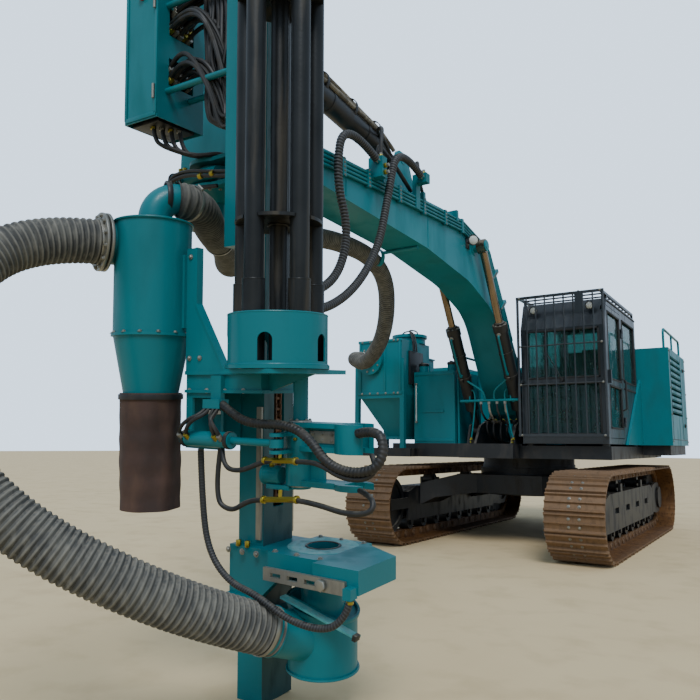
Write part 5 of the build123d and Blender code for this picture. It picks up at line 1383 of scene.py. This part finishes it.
@dataclass
class Tooling:
    """Cyclone flanges, carousel, transfer arm, clamp table and hood."""

    arm: tuple[float, float] = (0.405, -0.262)
    table_w: float = 0.729
    drill_a: float = 0.340

    def build(self, bolt: Repeat) -> None:
        """Make the pieces at working height."""
        a, b = CYCLONE
        cyclone = Piece("cyclone_trim", MAST)
        axis = Vector((-0.3446, -0.9387, 0))
        inlet = Vector((a - 0.073, b + 0.027, 2.142)) + axis * 0.205
        for shift in (0.0, 0.022):
            cyclone.ring(inlet + axis * shift, axis, 0.119, 0.018, ZINC, 44, 0.007)
        cyclone.ring((a, b, 2.2395), UP, 0.181, 0.006, TEAL, 60)
        cyclone.ring((a + 0.030, b + 0.052, 2.375), (75, 130, 0), 0.079, 0.006, BLACK, 40, 0.012)
        cyclone.ring((a, b, 2.262), UP, 0.079, 0.007, BLACK, 40, 0.008)
        cyclone.make("feed_beam", 0.001)
        spots = ring_spots(inlet + axis * 0.030, axis, 0.122, 12)
        spots += ring_spots((a, b, 1.717), UP, 0.1795, 14)
        # strap screws, spacer plate and post bolts
        screws = [(a + 0.163, b + 0.017, 1.80), (a + 0.163, b + 0.017, 2.02), (-0.165, -0.358, 1.60),
                  (-0.100, -0.358, 1.60), (-0.165, -0.358, 2.07)]
        screws += [(-0.170 + 0.11 * n, -0.351, 1.452) for n in range(4)]
        spots += [(at, FRONT) for at in screws]
        spots += ring_spots((*DRUM, 1.5445), DOWN, 0.180, 12)
        bolt.on("feed_beam", "cyclone", spots, 0.0085, MAST)
        self.carousel()
        self.arm_unit(bolt)
        self.arm_hoses()
        self.table(bolt)

    def carousel(self) -> None:
        """Add weld beads, plate bolts and thread ends to the carousel, and the arm's motor under it."""
        a, b = DRUM
        trim = Piece("carousel_trim", MAST)
        trim.ring((a, b, 1.766), UP, 0.206, 0.0045, TEAL, 64)
        trim.ring((a, b, 1.561), UP, 0.2095, 0.004, TEAL, 64)
        for w in (2.150, 3.120, 4.430):
            trim.ring((a, b, w - 0.004), UP, 0.042, 0.006, ROD_STEEL, 32)
            for n in range(5):
                t = 2 * math.pi * (n + 0.5) / 5 - math.pi / 2
                x, y = a + 0.075 * math.cos(t), b + 0.075 * math.sin(t)
                trim.rod((x, y, w + 0.012), (x, y, w + 0.024), 0.010, ZINC, 6)
        for n in range(5):
            t = 2 * math.pi * n / 5 - math.pi / 2
            trim.ring(
                (a + 0.155 * math.cos(t), b + 0.155 * math.sin(t), 1.900), UP, 0.043, 0.004, ROD_STEEL, 26)
        trim.make("carousel")
        motor = Piece("arm_motor", MAST)
        motor.lathe(
            (0.236, -0.290, 1.096), (0.332, -0.290, 1.096),
            [(0, 0.040), (0.03, 0.045), (0.14, 0.045), (0.17, 0.040), (0.94, 0.040), (1, 0.034)], TEAL, 36)
        motor.box((0.262, -0.315, 1.038), (0.385, -0.250, 1.058), TEAL)
        motor.rod((0.285, -0.300, 1.130), (0.285, -0.315, 1.165), 0.013, BRASS, 6)
        motor.make("feed_beam", 0.001)

    def arm_unit(self, bolt: Repeat) -> None:
        """Add plates, bolts and a nipple to the transfer arm."""
        a, b = self.arm
        plates = Piece("arm_plates", MAST)
        for w, lift in ((1.323, 0.008), (1.060, -0.008)):
            plates.lathe((a, b, w), (a, b, w + lift), [(0, 0.050), (1, 0.046)], ZINC, 28)
        plates.box((a + 0.060, b - 0.019, 1.240), (a + 0.190, b - 0.013, 1.290), ZINC)
        plates.rod((a + 0.02, b - 0.055, 1.255), (a + 0.02, b - 0.070, 1.255), 0.007, BRASS, 8)
        plates.make("transfer_arm", 0.001)
        spots: Spots = [
            ((a + x, b - 0.019, w), FRONT) for x in (0.075, 0.125, 0.175) for w in (1.252, 1.278)]
        spots += ring_spots((a, b, 1.331), UP, 0.040, 6)
        bolt.on("transfer_arm", "plate", spots, 0.006, MAST)

    def arm_hoses(self) -> None:
        """Hang the hoses of the transfer arm, from the bracket over to the arm's end."""
        fixed = Piece("bracket_hoses", MAST)
        fixed.box((-0.030, -0.405, 1.375), (0.070, -0.345, 1.415), TEAL)
        fixed.box((-0.010, -0.375, 1.410), (0.050, -0.350, 1.520), TEAL)
        for n, x in enumerate((-0.135, -0.095, 0.105, 0.075)):
            knot = 0.025 * n - 0.020
            fixed.hose([(x, -0.425, 1.250), (x, -0.450, 1.275), ((x + knot) / 2, -0.455, 1.325),
                        (knot, -0.420, 1.350), (knot, -0.380, 1.385)], 0.009, HOSE, 0.008)
            fixed.rod((x, -0.420, 1.240), (x, -0.445, 1.262), 0.012, BRASS if n % 2 else ZINC, 6)
            fixed.rod((knot, -0.395, 1.366), (knot, -0.395, 1.350), 0.012, ZINC, 6)
        for x in (-0.135, 0.125):
            fixed.ring((x, -0.395, 1.240), LEFT, 0.036, 0.003, BLACK, 28, 0.010)
        fixed.make("feed_beam")
        swinging = Piece("arm_hoses", MAST)
        corrugated = [
            (0.060, -0.380, 1.395), (0.120, -0.400, 1.370), (0.240, -0.410, 1.315), (0.457, -0.400, 1.320),
            (0.560, -0.400, 1.262), (0.630, -0.400, 1.180), (0.735, -0.400, 1.145), (0.850, -0.390, 1.160),
            (0.880, -0.370, 1.235), (0.840, -0.350, 1.315), (0.735, -0.330, 1.290)]
        upper = [
            (0.070, -0.380, 1.215), (0.095, -0.410, 1.130), (0.190, -0.400, 1.110), (0.320, -0.385, 1.168),
            (0.480, -0.385, 1.172), (0.600, -0.400, 1.175), (0.700, -0.400, 1.125), (0.800, -0.390, 1.120),
            (0.850, -0.370, 1.160), (0.800, -0.330, 1.210)]
        lower = [
            (0.060, -0.380, 1.215), (0.040, -0.400, 0.990), (0.130, -0.390, 0.935), (0.220, -0.385, 0.990),
            (0.300, -0.380, 1.003), (0.475, -0.380, 1.018), (0.590, -0.380, 1.008), (0.720, -0.380, 0.985),
            (0.830, -0.370, 1.000), (0.810, -0.340, 1.060), (0.700, -0.300, 1.074)]
        swinging.tube(Route(corrugated).even(0.0036), 0.020, HOSE, 12, 0.016, 0.0026)
        swinging.hose(upper, 0.0105, HOSE, 0.010, 12)
        swinging.hose(lower, 0.011, HOSE, 0.010, 12)
        for low, high in (((0.314, -0.384, 1.166), (0.475, -0.386, 1.173)),
                          ((0.305, -0.380, 1.003), (0.477, -0.380, 1.019))):
            swinging.rod(low, high, 0.0130, BRASS, 6)
            middle = (Vector(low) + Vector(high)) / 2
            swinging.rod(middle, middle + Vector((0, 0.004, 0.040)), 0.008, BRASS, 6)
            for end in (low, high):
                swinging.ring(end, LEFT, 0.013, 0.004, BRASS, 12, 0.007)
        made = swinging.make(None)
        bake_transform(made)

    def table(self, bolt: Repeat) -> None:
        """Add bolts, fittings and trim to the table and hood."""
        drill, table = self.drill_a, self.table_w
        top = table + 0.016
        spots: Spots = [((x, y, top), UP) for x in (0.225, 0.345, 0.470) for y in (-0.205, 0.140)]
        spots += [((-0.080 + 0.085 * n, -0.175, table - 0.020), FRONT) for n in range(4)]
        bolt.on("feed_beam", "table", spots, 0.010, MAST)
        trim = Piece("table_trim", MAST)
        trim.ring((drill, 0, top), UP, 0.078, 0.006, BLACK, 44)
        trim.ring((drill, 0, top - 0.0005), UP, 0.124, 0.040, PALE, 56, 0.0025)
        trim.ring((drill, 0, 0.2075), UP, 0.163, 0.005, TEAL, 60)
        trim.ring((drill, 0, 0.684), UP, 0.102, 0.005, TEAL, 44)
        trim.ring((drill - 0.0803, -0.2642, 0.4256), (-80.3, -267.6, 109.2), 0.103, 0.004, TEAL, 44)
        trim.rod((0.540, -0.298, table - 0.058), (0.540, -0.312, table - 0.058), 0.026, ZINC, 6)
        trim.rod((0.682, -0.3005, table - 0.094), (0.6812, -0.3008, table - 0.108), 0.0165, BRASS, 6)
        for x in (-0.040, 0.015):
            trim.rod((x, -0.150, table - 0.004), (x, -0.150, table + 0.026), 0.013, BRASS, 6)
        trim.make("feed_beam", 0.001)
        lip = Piece("hood_lip", MAST)
        lip.ring((drill, 0, 0.4845), (0.2353, 0, 0.9719), 0.1655, 0.006, TEAL, 60, 0.010)
        slope = Matrix.Translation((0.452, -0.187, 0.502)) @ Matrix.Rotation(0.248, 4, "Y")
        lip.box((-0.203, -0.020, -0.005), (0.203, 0.020, 0.005), PALE, slope)
        lip.box((0.188, -0.026, -0.012), (0.206, 0.010, 0.012), BLACK, slope)
        lip.box((-0.190, 0.010, -0.012), (0.060, 0.050, -0.003), TEAL, slope)
        lip.make("feed_beam", 0.001)


@dataclass
class Studio:
    """Floor, light and the photograph's viewpoint."""

    eye: Point = (3.0823, -9.249, 1.187)
    yaw: float = 0.5768
    pitch: float = 0.1383
    roll: float = -0.0095
    lens: float = 34.97
    floor_size: float = 160
    sky: str = "#cfe3f8"
    sky_light: float = 0.95
    sky_seen: float = 2.2
    sun_power: float = 2.2
    sun_spread: float = math.radians(24)
    sun_turn: Point = (math.radians(42), math.radians(8), math.radians(24))

    def camera(self) -> None:
        """Set the camera where the photograph was taken from."""
        right = Vector((math.cos(self.yaw), math.sin(self.yaw), 0))
        ahead = Vector((-math.sin(self.yaw) * math.cos(self.pitch),
                        math.cos(self.yaw) * math.cos(self.pitch), math.sin(self.pitch)))
        up = right.cross(ahead)
        right, up = (math.cos(self.roll) * right - math.sin(self.roll) * up,
                     math.sin(self.roll) * right + math.cos(self.roll) * up)
        data = bpy.data.cameras.new("camera")
        data.lens, data.sensor_width, data.clip_end = self.lens, 36.0, 200
        eye = Forge.link("camera", data)
        eye.matrix_world = Matrix((
            *((right[n], up[n], -ahead[n], self.eye[n]) for n in range(3)), (0, 0, 0, 1)))
        bpy.context.scene.camera = eye

    def floor(self) -> None:
        """Lay a pale floor."""
        bpy.ops.mesh.primitive_plane_add(size=self.floor_size, location=(0, 0, -0.002))
        floor = bpy.context.object
        floor.name = "floor"
        ground = Finish("pale_ground", "#cdb88f", "#c0aa80", coat=Coat.RUBBER, rough=0.9, patch=0.9,
                        grime="#a48f6a", grime_share=0.35, bump=0.01, grain=9)
        floor.data.materials.append(Paintshop.get(ground))

    def light(self) -> None:
        """Bright overcast sky with one soft key."""
        world = bpy.data.worlds.new("sky")
        bpy.context.scene.world = world
        world.use_nodes = True
        tree = Tree(world.node_tree)
        seen = tree.add("ShaderNodeLightPath").outputs["Is Camera Ray"]
        power = tree.add(
            "ShaderNodeMapRange", {"Value": seen, "To Min": self.sky_light, "To Max": self.sky_seen})
        tree.feed(
            world.node_tree.nodes["Background"], {"Color": linear(self.sky), "Strength": power.outputs[0]})
        sun = bpy.data.lights.new("key", "SUN")
        sun.energy, sun.angle = self.sun_power, self.sun_spread
        lamp = Forge.link("key", sun)
        lamp.rotation_euler = self.sun_turn


def main() -> None:
    """Build the looks in order."""
    logging.basicConfig(level=logging.INFO)
    Paintshop.coat(frame["nodes"])
    FreeHoses().build()
    DustDucts().build()
    bolt = Repeat("bolt", hex_bolt(ZINC), ZINC)
    for part in (Tracks(), Cab(), Upper(), Boom(), Mast(), Tooling()):
        part.build(bolt)
    bolt.done()
    studio = Studio()
    studio.floor()
    studio.light()
    studio.camera()


if __name__ == "__main__":
    main()
